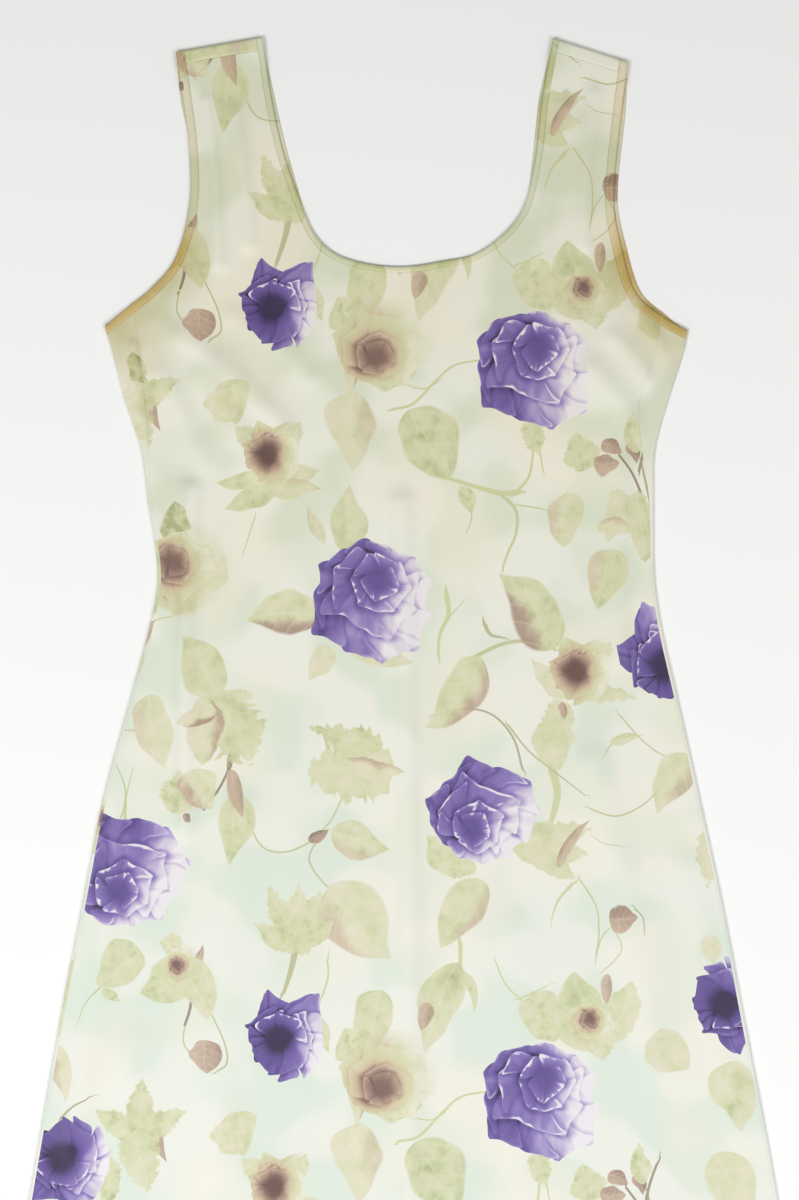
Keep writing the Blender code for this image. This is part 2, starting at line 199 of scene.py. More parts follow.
def smoothAt(keys, rows, at):
    # values at any keys of the smooth lines through rows of numbers
    keys, rows = np.asarray(keys, float), np.asarray(rows, float)
    last = len(keys) - 1
    at = np.clip(at, keys[0], keys[-1])
    low = np.clip(np.searchsorted(keys, at, side="right") - 1, 0, last - 1)
    before = np.maximum(np.arange(last + 1) - 1, 0)
    after = np.minimum(np.arange(last + 1) + 1, last)
    slopes = (rows[after] - rows[before]) / (keys[after] - keys[before])[:, None]
    span = (keys[low + 1] - keys[low])[..., None]
    t = (at - keys[low])[..., None] / span
    start = rows[low] * (1 + 2 * t) * (1 - t) ** 2 + slopes[low] * span * t * (1 - t) ** 2
    end = rows[low + 1] * t * t * (3 - 2 * t) - slopes[low + 1] * span * t * t * (1 - t)
    return start + end


def lengthsAlong(line):
    # how far along a line each of its points is
    return np.concatenate([[0], np.cumsum(np.linalg.norm(np.diff(line, axis=0), axis=1))])


def fade(t):
    # 1 at 0 and below, falling smoothly to 0 at 1
    t = np.clip(t, 0, 1)
    return 1 - t * t * (3 - 2 * t)


def sideColumn(side, drop, column):
    # the column of the sides' table for the left, or the one after it for the right
    return smoothAt(sideKeys, sideRows, drop)[..., column + (side == right)]


def sideStart(side, drop):
    # half width at which the cloth starts to turn round a side
    return sideColumn(side, drop, 0) - cloth["sideRoll"]


def shoulderStart(side, half):
    # drop at which the cloth starts to turn over a shoulder
    inner, innerDrop, outer, outerDrop = shoulders[side]
    t = (half - inner) / (outer - inner)
    return innerDrop + (outerDrop - innerDrop) * t + cloth["shoulderRoll"]


def fromTurns(side, half, drop):
    # how far in from the turn at the side, and from the one at the shoulder, cloth lies
    return np.maximum(sideStart(side, drop) - half, 0), np.maximum(drop - shoulderStart(side, half), 0)


def creaseHeight(x, drop):
    height = np.zeros_like(x)
    for startX, startDrop, endX, endDrop, bow, width, rise in creases:
        runX, runDrop = endX - startX, endDrop - startDrop
        length = math.hypot(runX, runDrop)
        along = ((x - startX) * runX + (drop - startDrop) * runDrop) / length**2
        across = ((x - startX) * runDrop - (drop - startDrop) * runX) / length
        t = np.clip(along, 0, 1)
        across = across - bow * 4 * t * (1 - t)
        past = (along - t) * length
        height += rise * np.exp(-(across**2 + past**2) / width**2)
    return height * cloth["creasing"]


def flatness(side, half, drop):
    # 1 well inside the dress, falling to 0 where the cloth turns at a side or a shoulder
    return 1 - fade(np.minimum(*fromTurns(side, half, drop)) / cloth["sideReach"])


def hemLine(half):
    widest = sideRows[-1][0]
    return dressLength - cloth["hemRise"] * (half / widest) ** 2


def topLevel(side, half, drop):
    # height of the middle of the cloth that lies on top
    fromSide, fromShoulder = fromTurns(side, half, drop)
    sideLift = backLevel + 2 * cloth["sideRoll"] - frontLevel
    shoulderLift = backLevel + 2 * cloth["shoulderRoll"] - frontLevel
    level = frontLevel + sideLift * fade(fromSide / cloth["sideReach"])
    level = level + shoulderLift * fade(fromShoulder / cloth["shoulderReach"])
    pastTurn = drop - (hemLine(half) - cloth["hemTurn"])
    level = level + cloth["hemStep"] * (1 - fade(pastTurn / cloth["hemEase"]))
    return level + creaseHeight(side * half, drop) * flatness(side, half, drop)


def backRise(side, half, drop):
    # faint creases of the back, like the front's but elsewhere
    rise = cloth["backShare"] * creaseHeight(-side * half, drop + cloth["backSlip"])
    return np.minimum(rise, cloth["backCrease"]) * flatness(side, half, drop)


def turn(past, radius):
    # how far out, and how far turned over (0 to 1), cloth is that runs past the start of a half turn
    angle = np.clip(past / radius, 0, math.pi)
    out = np.minimum(past, 0) + radius * np.sin(angle) - np.maximum(past - math.pi * radius, 0)
    return out, (1 - np.cos(angle)) / 2


def lay(face, side, places):
    # where cut places of the front or the back come to lie
    half, drop = places[..., 0], places[..., 1]
    start = sideStart(side, drop)
    out, turnedIn = turn(half - start, cloth["sideRoll"])
    half = start + out
    start = shoulderStart(side, half)
    up, turnedDown = turn(start - drop, cloth["shoulderRoll"])
    drop = start - up
    turned = turnedIn + turnedDown
    onTop = 1 - turned if face == front else turned
    z = backLevel + (topLevel(side, half, drop) - backLevel) * onTop
    z = z + backRise(side, half, drop) * (1 - onTop)
    return np.stack([side * half, topEdge - drop, z], axis=-1)


def edgeLine(rows, stretches, clothSide, face, inset):
    # places along a free edge from the shoulder, moved into the cloth by an inset
    rows = np.array(rows, float)
    keys = lengthsAlong(rows[:, :2])
    stations = [0.0]
    for end, steps in stretches:
        first = stations[-1]
        stations += [first + (keys[end] - first) * step / steps for step in range(1, steps + 1)]
    stations = np.array(stations)
    value = smoothAt(keys, rows, stations)
    run = smoothAt(keys, rows, stations + grid["nudge"]) - smoothAt(keys, rows, stations - grid["nudge"])
    inward = np.stack([run[:, 1], -run[:, 0]], axis=1) * clothSide
    inward /= np.linalg.norm(inward, axis=1)[:, None]
    inward[0] = (clothSide, 0)
    inward[-1] = (0, 1)
    return value[:, :2] + inward * (inset - value[:, 2] * (face == back))[:, None]


def overShoulder(side, line):
    # a line led from the top of the shoulder's half turn down into the edge line
    start = shoulderStart(side, line[0][0])
    steps = halfTurnShoulder * np.arange(turnHalf, -1, -1) / grid["turnSteps"]
    return np.concatenate([[(line[0][0], start - past) for past in steps], line[1:]])


def edgeTop(side, half, edges):
    # the top of an edge, and the place where the back strap's wrap ends
    top = (half, shoulderStart(side, half), 0)
    t = cloth["shoulderWrap"] / (edges[0][1] - top[1])
    return top, tuple(low + (high - low) * t for low, high in zip(top, edges[0]))


def neckLine(side, face, inset):
    edges = neckEdges[side]
    rows = edgeTop(side, shoulders[side][0], edges) + edges
    stretches = ((1, grid["wrapRows"]), (len(rows) - 1, grid["neckRows"]))
    half, *rest = edges[-2]
    rows += ((-half, *rest),)  # past the centre, to keep the line level there
    line = edgeLine(rows, stretches, 1, face, inset)
    line[-1][0] = 0
    return overShoulder(side, line)


def armholeLine(side, face, inset):
    edges, lowDrop = armholeEdges[side], underarms[side]
    underarm = (float(sideStart(side, lowDrop)), lowDrop, 0)
    rows = edgeTop(side, shoulders[side][2], edges) + edges + (underarm,)
    last = len(rows) - 1
    stretches = ((1, grid["wrapRows"]), (last - 1, grid["armholeRows"]), (last, grid["stripColumns"]))
    line = edgeLine(rows, stretches, -1, face, inset)
    start = float(sideStart(side, lowDrop + inset))
    steps = halfTurnSide * np.arange(0, turnHalf + 1) / grid["turnSteps"]
    line = np.concatenate([line[:-1], [(start + past, lowDrop + inset) for past in steps]])
    return overShoulder(side, line)


def sewnEdges(side, face):
    return neckLine(side, face, binding["neck"]), armholeLine(side, face, binding["armhole"])


# places in the lines that neckLine and armholeLine give
shoulderSeam = turnHalf + grid["wrapRows"]
neckCentre = shoulderSeam + grid["neckRows"]
seamTop = shoulderSeam + grid["armholeRows"]
sideTurn = seamTop + grid["stripColumns"]


def bodyDrops(hem, top):
    # drops of the body's rows, from the hem up, closer together near the top
    rows = np.arange(grid["bodyRows"] + 1) / grid["bodyRows"]
    return hem + (top - hem) * (1 - (1 - rows) ** grid["rowCrowding"])


centreDrops = bodyDrops(dressLength, cloth["chestDrop"])
sideDrops = {
    side: bodyDrops(dressLength - cloth["hemRise"], underarms[side] + binding["armhole"])
    for side in (left, right)
}


def sideSeam(side):
    # places down the side seam on the front, from the hem up
    armhole = sewnEdges(side, front)[1]
    top, underarm = armhole[seamTop], armhole[sideTurn][1]
    drops = sideDrops[side]
    drops = drops - (underarm - top[1]) * fade((drops - underarm) / cloth["seamLiftReach"])
    places = np.stack([sideStart(side, drops) - sideColumn(side, drops, 2), drops], axis=1)
    places[-1] = top
    return places


def crowded(lengths, columns):
    # fractions along rows of the given lengths, with close columns at the outer end
    fine = np.array(grid["fineSteps"][::-1] + (0.0,))
    lengths = np.asarray(lengths, float)[:, None]
    fine = fine[None] * np.minimum(1, lengths / (4 * fine[0]))
    coarse = (lengths - fine[:, :1]) * np.arange(columns) / columns
    return np.concatenate([coarse, lengths - fine], axis=1) / lengths


def bodyRows(outer, columns):
    # rows from the centre line out to the places, bowed as the hem is
    t = crowded(outer[:, 0], columns)
    drops = centreDrops[:, None] + (outer[:, 1:] - centreDrops[:, None]) * t * t
    return np.stack([outer[:, :1] * t, drops], axis=-1)


def straightRows(inner, outer, columns):
    t = crowded(np.linalg.norm(outer - inner, axis=1), columns)[..., None]
    return inner[:, None] + (outer - inner)[:, None] * t


def upperRows(neck, armhole, columns):
    # rows above the underarm, from the centre line or the neck to the armhole, both from below
    centreRows = len(armhole) - len(neck)
    t = (np.arange(centreRows) + 1) / (centreRows + 1)
    drops = cloth["chestDrop"] + (neck[0][1] - cloth["chestDrop"]) * t
    inner = np.stack([0 * t, drops], axis=1)
    return straightRows(np.concatenate([inner, neck]), armhole, columns)


def shoulderRows(side, rows, columns):
    # rows along a shoulder, each between two half widths and past where the cloth starts to turn over
    places = [[(half, shoulderStart(side, half) - past) for half in ends] for *ends, past in rows]
    places = np.array(places, float)
    return straightRows(places[:, 0], places[:, 1], columns)


def frontHalf(side):
    # cut rows of half the front, from the hem to the shoulder seam
    neck, armhole = sewnEdges(side, front)
    columns = grid["frontColumns"]
    upper = upperRows(neck[neckCentre:shoulderSeam:-1], armhole[seamTop - 1 : shoulderSeam : -1], columns)
    ends = (neck[shoulderSeam][0], armhole[shoulderSeam][0])
    wrap = -cloth["shoulderWrap"]
    last = shoulderRows(side, [(*ends, wrap - cloth["seamTuck"]), (*ends, wrap)], columns)
    return np.concatenate([bodyRows(sideSeam(side), columns), upper, last])


def backHalf(side):
    # cut rows of half the back, from the hem over the shoulder to the seam on the front
    neck, armhole = sewnEdges(side, back)
    columns = grid["backColumns"]
    outer = np.stack([sideStart(side, sideDrops[side]), sideDrops[side]], axis=1)
    last = turnHalf - 1
    upper = upperRows(neck[neckCentre:last:-1], armhole[sideTurn - 1 : last : -1], columns)
    ends = (neck[turnHalf][0], armhole[turnHalf][0])
    steps = range(1, grid["turnSteps"] + 1)
    rows = [(*ends, halfTurnShoulder * step / grid["turnSteps"]) for step in steps]
    neck, armhole = sewnEdges(side, front)
    for step in range(1, grid["wrapRows"] + 1):
        past = halfTurnShoulder + cloth["shoulderWrap"] * step / grid["wrapRows"]
        rows.append((neck[turnHalf + step][0], armhole[turnHalf + step][0], past))
    return np.concatenate([bodyRows(outer, columns), upper, shoulderRows(side, rows, columns)])


def backWrap(side):
    # cut rows of the cloth that goes round the side from the back to the side seam
    armhole = sewnEdges(side, front)[1]
    seam, drops = sideSeam(side), sideDrops[side]
    start = sideStart(side, drops)
    steps = halfTurnSide * np.arange(grid["turnSteps"] + 1) / grid["turnSteps"]
    turned = np.stack([start[:, None] + steps, np.repeat(drops[:, None], len(steps), axis=1)], axis=-1)
    seamStart = sideStart(side, seam[:, 1])
    ends = np.stack([2 * seamStart + halfTurnSide - seam[:, 0], seam[:, 1]], axis=1)
    strip = straightRows(turned[:, -1], ends, grid["wrapColumns"])[:, 1:]
    # the top row follows the armhole's binding
    edge = armhole[seamTop : sideTurn + 1]
    laidHalf = 2 * start[-1] + halfTurnSide - strip[-1, :, 0]
    strip[-1, :, 1] = np.interp(laidHalf, edge[:, 0], edge[:, 1])
    return np.concatenate([turned, strip], axis=1)


def layHalf(face, side, places):
    # laid rows, and beside them their cut places as x and drop
    return lay(face, side, places), places * (side, 1)


def linkMesh(name, mesh, materials):
    # a smooth object made of a mesh, with its faces turned outwards
    bmesh.ops.recalc_face_normals(mesh, faces=mesh.faces)
    data = bpy.data.meshes.new(name)
    mesh.to_mesh(data)
    mesh.free()
    data.shade_smooth()
    piece = bpy.data.objects.new(name, data)
    bpy.context.scene.collection.objects.link(piece)
    for material in materials:
        data.materials.append(material)
    return piece


def makePiece(name, sheets, materials):
    # one piece of cloth from laid sheets, joined where they meet
    mesh = bmesh.new()
    cutLayer = mesh.loops.layers.uv.new("cut")
    for laid, cut in sheets:
        rows, columns = laid.shape[:2]
        made = bmesh.ops.create_grid(mesh, x_segments=columns - 1, y_segments=rows - 1, size=1)
        cutOf = {}
        for vert, place, cutPlace in zip(made["verts"], laid.reshape(-1, 3), cut.reshape(-1, 2)):
            vert.co = place
            cutOf[vert] = cutPlace
        for face in {face for vert in made["verts"] for face in vert.link_faces}:
            for loop in face.loops:
                loop[cutLayer].uv = cutOf[loop.vert]
    bmesh.ops.remove_doubles(mesh, verts=mesh.verts, dist=grid["weld"])
    return linkMesh(name, mesh, materials)


def thicken(piece):
    modifier = piece.modifiers.new("wall", "SOLIDIFY")
    modifier.thickness = cloth["wall"]
    modifier.offset = 0
    modifier.use_even_offset = False


# The print. Rows are in millimetres on the laid dress: x from the centre line, drop from the shoulders
mm = 0.001
repeat = {"across": 0.640, "down": 0.565, "slip": 0.005}  # slip: sideways step at each repeat down
backShift = (-0.060, 0.450)

# drawing, palette, x, drop, unit, turn in degrees, upright (1) or upside down (-1)
roses = (
    ("cup", "purple", -96, 208, 30, 0, 1),
    ("open", "purple", 111, 254, 38, -14, 1),
    ("open", "purple", -14, 434, 39, -22, 1),
    ("cup", "purple", 204, 482, 33, 60, 1),
    ("open", "purple", 68, 604, 34, 24, -1),
    ("open", "purple", -206, 650, 37, 16, -1),
    ("cup", "purple", 254, 748, 31, -30, -1),
    ("cup", "purple", -264, 303, 32, 20, -1),
    ("open", "ghost", -8, 240, 31, 20, -1),
    ("cup", "ghost", -101, 322, 22, 0, 1),
    ("open", "ghost", -164, 410, 29, 40, 1),
    ("cup", "ghost", 137, 490, 23, 0, 1),
    ("open", "ghost", 151, 764, 15, 0, 1),
    ("open", "ghost", -168, 714, 12, 90, 1),
)

# base x and drop, tip x and drop, half width, bend, bluntness (low is round), tone, then unless they are 0
# brown and its side, and spikes
leaves = (
    (8, 288, 37, 344, 23, 3, 0.5, 0.9),
    (-36, 274, -39, 338, 19, 0, 0.65, 0.4, 0.4, 1),
    (-41, 399, -38, 343, 13, 0, 0.8, 0.9),
    (-58, 392, -72, 360, 5, 1, 0.8, 0.5, 0.4),
    (-130, 265, -126, 300, 13, 0, 0.4, 0.6),
    (-62, 444, -120, 451, 17, -2, 0.6, 0.7, 1, 1),
    (-54, 471, -70, 498, 10, 0, 0.55, 0.2, 0.1),
    (-140, 510, -168, 461, 18, 0, 0.6, 0.9),
    (-196, 509, -180, 566, 15, -2, 0.6, 0.5, 0.5, -1),
    (47, 347, 56, 371, 6, 2, 0.8, 0.9),
    (119, 474, 78, 412, 20, -4, 0.6, 0.9, 1, 1),
    (62, 478, 18, 536, 17, 8, 0.7, 0.8, 0.8, 1),
    (132, 352, 127, 396, 13, -2, 0.6, 0.5, 0.6, -1),
    (166, 396, 152, 444, 15, 0, 0.6, 0.7, 0.6, -1),
    (116, 528, 121, 568, 15, 0, 0.55, 0.6),
    (162, 546, 190, 539, 4, 1, 0.8, 0.7),
    (221, 553, 198, 602, 14, 0, 0.6, 0.6, 0.7, 1),
    (-125, 584, -129, 642, 13, 0, 0.6, 0.8),
    (-52, 612, -6, 628, 14, -3, 0.6, 0.7, 0.6, -1),
    (-54, 656, -4, 713, 23, -3, 0.6, 0.5, 0.8, -1),
    (-202, 703, -232, 734, 17, 0, 0.4, 0.7),
    (-230, 736, -214, 746, 4, 0, 0.8, 0.9),
    (62, 650, 29, 704, 17, 2, 0.55, 0.7, 0.6, 1),
    (47, 716, 21, 788, 15, -5, 0.6, 0.9),
    (106, 738, 118, 778, 16, 0, 0.45, 0.7),
    (50, 722, 56, 756, 4, 4, 0.8, 0.8),
    (193, 773, 224, 798, 16, 0, 0.45, 0.4),
    (243, 606, 236, 660, 12, 0, 0.6, 0.6, 0, 0, 0.2),
    (238, 694, 244, 716, 8, 0, 0.5, 0.2, 0.2),
    (252, 792, 266, 846, 17, 0, 0.55, 0.6),
    (243, 863, 276, 918, 18, 0, 0.6, 0.5),
    (-134, 838, -128, 864, 13, 0, 0.4, 0.4),
    (-16, 736, -30, 792, 15, 2, 0.6, 0.8),
    (-70, 756, -54, 786, 7, 2, 0.7, 0.8),
    (-268, 776, -258, 826, 8, 2, 0.8, 0.2, 0.7, -1),
    # round the ghost roses
    (-34, 226, -46, 200, 15, 0, 0.45, 0.8),
    (-38, 240, -38, 280, 6, 1, 0.7, 0.4, 0.9, 1),
    (-26, 262, 14, 262, 13, 3, 0.6, 0.8),
    (-100, 338, -144, 345, 7, 2, 0.7, 0.8),
    (-94, 346, -138, 364, 9, 2, 0.7, 0.9),
    (-98, 340, -60, 334, 9, -2, 0.7, 0.6),
    (-102, 350, -58, 349, 8, 1, 0.7, 0.7, 0.4, 1),
    (-108, 316, -128, 300, 8, 1, 0.6, 0.5, 0, 0, 0.1),
    (-90, 318, -76, 297, 8, -1, 0.6, 0.6, 0, 0, 0.1),
    (-170, 392, -174, 358, 11, 0, 0.5, 1.3),
    (-158, 430, -176, 448, 10, 0, 0.55, 1, 0, 0, 0.1),
    (-150, 424, -134, 400, 9, -2, 0.5, 0.6),
    (128, 506, 186, 512, 10, 2, 0.6, 0.7, 0, 0, 0.15),
    (128, 512, 102, 478, 8, 0, 0.7, 0.4, 0, 0, 0.1),
    (130, 514, 108, 548, 13, 2, 0.6, 0.7, 0, 0, 0.1),
    (146, 486, 168, 466, 7, 0, 0.7, 0.5, 0, 0, 0.2),
    (125, 514, 128, 528, 3, 0, 0.6, 0.4, 1),
    # spiky blooms without a heart
    (-140, 506, -118, 566, 27, 0, 0.42, 0.8, 0, 0, 0.22),
    (-148, 510, -156, 564, 14, 2, 0.45, 0.4, 0.8, 1, 0.05),
    (-142, 520, -172, 532, 8, 0, 0.5, 0.4, 1, 1),
    (-4, 566, -74, 566, 29, 0, 0.38, 0.6, 0, 0, 0.2),
    (-12, 548, -72, 532, 14, 3, 0.5, 0.9, 0, 0, 0.25),
    (-44, 560, 8, 566, 8, -4, 0.6, 0.3, 0.8, 1, 0.05),
    (-80, 702, -102, 654, 11, 0, 0.55, 0.7, 0, 0, 0.12),
    (-80, 702, -79, 652, 10, 0, 0.55, 0.5, 0.2, 0, 0.12),
    (-80, 702, -60, 658, 11, 0, 0.55, 0.7, 0, 0, 0.12),
    (-76, 704, -114, 686, 11, 0, 0.45, 0.8, 0, 0, 0.1),
    (-84, 704, -48, 684, 10, 0, 0.45, 0.7, 0, 0, 0.1),
    (-160, 712, -200, 742, 17, 4, 0.5, 0.8),
    (-162, 712, -146, 760, 13, -2, 0.5, 0.5),
    (-168, 704, -186, 698, 9, 0, 0.5, 0.5, 0, 0, 0.1),
    (-176, 712, -160, 742, 13, 0, 0.45, 0.6, 0, 0, 0.08),
    (-158, 726, -152, 700, 4, 0, 0.7, 0.3, 1),
    (152, 782, 134, 722, 20, 4, 0.42, 0.9),
    (150, 778, 182, 728, 15, -4, 0.45, 0.6, 0, 0, 0.08),
    (150, 770, 118, 752, 12, 0, 0.5, 0.8),
    (150, 760, 158, 792, 14, 0, 0.4, 0.5, 0.2, 0, 0.12),
    (160, 724, 160, 748, 4, 0, 0.5, 0.3, 0.9),
    (88, 624, 140, 654, 11, 3, 0.6, 0.7, 0, 0, 0.1),
    (96, 630, 148, 632, 12, 3, 0.6, 0.6, 0, 0, 0.1),
    (90, 618, 152, 608, 14, -3, 0.6, 0.6, 0, 0, 0.15),
    (122, 642, 148, 604, 4, 3, 0.6, 0.4, 0.9),
    (50, 640, 20, 616, 13, 3, 0.6, 0.6),
    (60, 640, 26, 644, 9, 0, 0.6, 0.6, 0, 0, 0.1),
    # star leaves over the left side
    (-204, 290, -240, 262, 10, 0, 0.55, 0.9, 0, 0, 0.1),
    (-206, 288, -206, 238, 11, 0, 0.5, 0.8, 0, 0, 0.12),
    (-206, 284, -168, 262, 12, 0, 0.55, 0.8, 0, 0, 0.15),
    (-208, 278, -200, 330, 16, 0, 0.5, 0.7, 0, 0, 0.12),
    (-200, 262, -184, 306, 6, -2, 0.6, 0.4, 1),
    (-228, 300, -232, 345, 10, 0, 0.55, 0.9, 0, 0, 0.1),
    # under the roses
    (-40, 470, 12, 484, 9, 0, 0.6, 0.5, 0.3, 1),
    (118, 205, 104, 178, 14, 0, 0.45, 0.7),
    (100, 296, 108, 324, 9, 0, 0.5, 0.7, 0, 0, 0.1),
    # buds
    (-155, 210, -155, 236, 11, 0, 0.4, 0.3, 1),
    (-168, 600, -172, 566, 14, 0, 0.42, 0.8, 0, 0, 0.1),
    (-164, 568, -146, 598, 13, 2, 0.42, 0.4, 1, -1),
    (-131, 566, -121, 604, 6, 0, 0.55, 0.3, 0.9),
    (-166, 600, -162, 607, 3, 0, 0.5, 0.3, 1.4),
    (162, 682, 184, 680, 10, 0, 0.4, 0.3, 1.2),
    (146, 334, 134, 306, 14, 0, 0.45, 0.8, 0, 0, 0.08),
    (150, 330, 170, 328, 8, -2, 0.5, 0.3, 1),
    (156, 314, 172, 322, 6, 1, 0.6, 0.3, 1.2),
    (182, 322, 180, 288, 8, 0, 0.6, 0.8, 0, 0, 0.08),
    (178, 312, 184, 330, 5, 0, 0.6, 0.3, 1.4),
    (172, 350, 158, 392, 12, 3, 0.6, 0.5, 0, 0, 0.1),
    (152, 378, 182, 384, 7, 3, 0.64, 0.3, 0.7, 1),
    (184, 350, 192, 412, 11, 0, 0.6, 0.7, 0, 0, 0.1),
    (-70, 622, -54, 612, 4, 0, 0.6, 0.3, 1.4),
    (22, 746, 16, 768, 6, 0, 0.6, 0.3, 0.9),
)

# points along each stem, then half width at its start and end, and brown
stems = (
    (34, 340, 60, 348, 80, 353, 92, 352, 1.2, 2.6, 0),
    (90, 352, 100, 340, 103, 322, 105, 302, 1.2, 0.8, 0),
    (78, 353, 90, 366, 90, 384, 84, 398, 79, 412, 1.6, 0.8, 0.1),
    (92, 362, 106, 364, 122, 368, 0.7, 0.4, 0.1),
    (106, 304, 108, 318, 111, 336, 1.2, 0.5, 0),
    (62, 250, 42, 254, 26, 268, 10, 284, -6, 288, 0.8, 1.2, 0),
    (8, 270, 20, 272, 32, 265, 0.6, 0.5, 0),
    (56, 370, 54, 378, 51, 384, 0.6, 0.3, 0.2),
    (30, 480, 31, 462, 38, 446, 36, 430, 1, 2.2, 0),
    (34, 456, 42, 444, 50, 436, 0.8, 0.4, 0),
    (58, 479, 80, 469, 98, 467, 118, 472, 1.6, 1.4, 0.2),
    (66, 454, 70, 462, 80, 464, 1.8, 0.8, 0.4),
    (28, 524, 50, 519, 72, 524, 88, 542, 95, 566, 0.7, 0.9, 0.6),
    (84, 532, 100, 552, 120, 568, 142, 585, 0.9, 0.5, 0.3),
    (118, 566, 122, 584, 118, 604, 3.6, 2.4, 0),
    (148, 597, 168, 602, 190, 592, 206, 574, 0.7, 0.6, 0.2),
    (158, 556, 164, 546, 176, 541, 0.5, 0.7, 0.1),
    (170, 524, 188, 544, 206, 556, 220, 554, 0.6, 0.5, 0.2),
    (-118, 602, -106, 626, -88, 630, -66, 621, 0.6, 0.8, 0.2),
    (-64, 618, -52, 604, -44, 588, -36, 580, 0.7, 0.6, 0.2),
    (-66, 624, -70, 636, -62, 650, -52, 660, 0.7, 0.6, 0.3),
    (-80, 704, -84, 722, -90, 740, 2.8, 1.4, 0.35),
    (-56, 712, -55, 726, -60, 742, 0.7, 0.7, 0.1),
    (47, 700, 47, 716, 45, 730, 1.8, 1.4, 0),
    (-230, 733, -242, 746, -248, 760, 0.8, 0.4, 0.1),
    (74, 714, 82, 732, 94, 744, 0.6, 0.7, 0),
    (94, 742, 104, 738, 116, 732, 1, 0.4, 0),
    (140, 652, 152, 672, 154, 692, 152, 712, 0.7, 0.7, 0.1),
    (134, 654, 122, 668, 117, 684, 1.6, 0.4, 0),
    (182, 674, 188, 680, 189, 692, 0.7, 0.5, 0.4),
    (162, 688, 156, 696, 153, 706, 0.6, 0.5, 0.2),
    (166, 690, 172, 704, 164, 716, 156, 722, 0.5, 0.5, 0.1),
    (-131, 564, -140, 582, -150, 594, 0.9, 1.2, 1),
    (-131, 556, -132, 570, -131, 584, 2, 1.2, 0.8),
    (170, 324, 180, 338, 188, 358, 194, 384, 0.9, 1.2, 1.1),
    (186, 326, 190, 344, 194, 362, 0.8, 1, 0.6),
    (-170, 196, -172, 212, -164, 224, 0.6, 0.6, 0.2),
    (-150, 190, -140, 212, -138, 228, -146, 234, 0.6, 0.8, 0.3),
    (-160, 738, -162, 752, -166, 764, 1.4, 1, 1),
    (-214, 602, -211, 586, -206, 566, 0.9, 0.4, 0.1),
    (-212, 604, -212, 580, -219, 562, 1.2, 0.4, 0.1),
    (-234, 540, -216, 536, -202, 536, 0.4, 0.6, 0.2),
    (-176, 448, -190, 452, -194, 470, 0.7, 0.4, 0),
    (-112, 372, -116, 384, -120, 398, 0.6, 0.4, 0.1),
    (166, 60, 152, 58, 146, 54, 0.4, 0.4, 0.1),
    (-240, 820, -252, 826, -262, 836, 0.6, 1, 0.6),
    (200, 868, 194, 884, 190, 900, 1, 1.2, 0.9),
)
printing = {
    "leaves": 5,  # sheets of leaves that may lie over one another, and of stems
    "stems": 2,
    "bleed": 0.0045,  # how far past its outline a motif's own faces reach
    "roseReach": 1.75,  # how far a rose's faces reach, in its units
    "leafReach": 1.25,  # the same across a leaf, in its half widths
    "roseSpread": 1.7,  # how differently the roses are bent
    "touch": 0.8,  # share of their half widths within which leaves lie on one another
    "leafWidth": 1.12,  # how much wider the leaves are drawn than their rows say
    "stemStep": 0.004,  # length of the straight parts that a stem is worked out in
    "far": 9.0,  # a place that no motif reaches
}


def paint(*shade):
    # a colour mixed as 0 to 255 on a screen, as the renderer's linear values
    return (*[((value / 255 + 0.055) / 1.055) ** 2.4 for value in shade], 1.0)


def repeats(shift):
    # where the print's repeats start over the whole dress
    for down in range(-2, 3):
        for across in range(-1, 2):
            x = across * repeat["across"] + down * repeat["slip"] + shift[0]
            yield np.array([x, down * repeat["down"] + shift[1]])


def leafPlace(row):
    base, tip = np.array(row[:2]) * mm, np.array(row[2:4]) * mm
    run = tip - base
    length = math.hypot(*run)
    return base, run / length, length, printing["leafWidth"] * row[4] * mm, row[5] * mm


def leafLayers():
    # which layer each leaf is printed in: over those it touches if it can be, and never in theirs
    chosen, reached = [], []
    for row in leaves:
        base, way, length, half = leafPlace(row)[:4]
        points = base + way * length * np.linspace(0, 1, 6)[:, None]
        taken = {-1}
        for layer, (otherPoints, otherHalf) in zip(chosen, reached):
            between = points[:, None] - otherPoints[None]
            sizes = np.array([repeat["across"], repeat["down"]])
            between -= sizes * np.round(between / sizes)
            gap = np.linalg.norm(between, axis=-1).min() - printing["bleed"]
            if gap < printing["touch"] * (half + otherHalf):
                taken.add(layer)
        free = [layer for layer in range(printing["leaves"]) if layer not in taken]
        above = [layer for layer in free if layer > max(taken)]
        chosen.append((above + free[::-1] + [printing["leaves"] - 1])[0])
        reached.append((points, half))
    return chosen


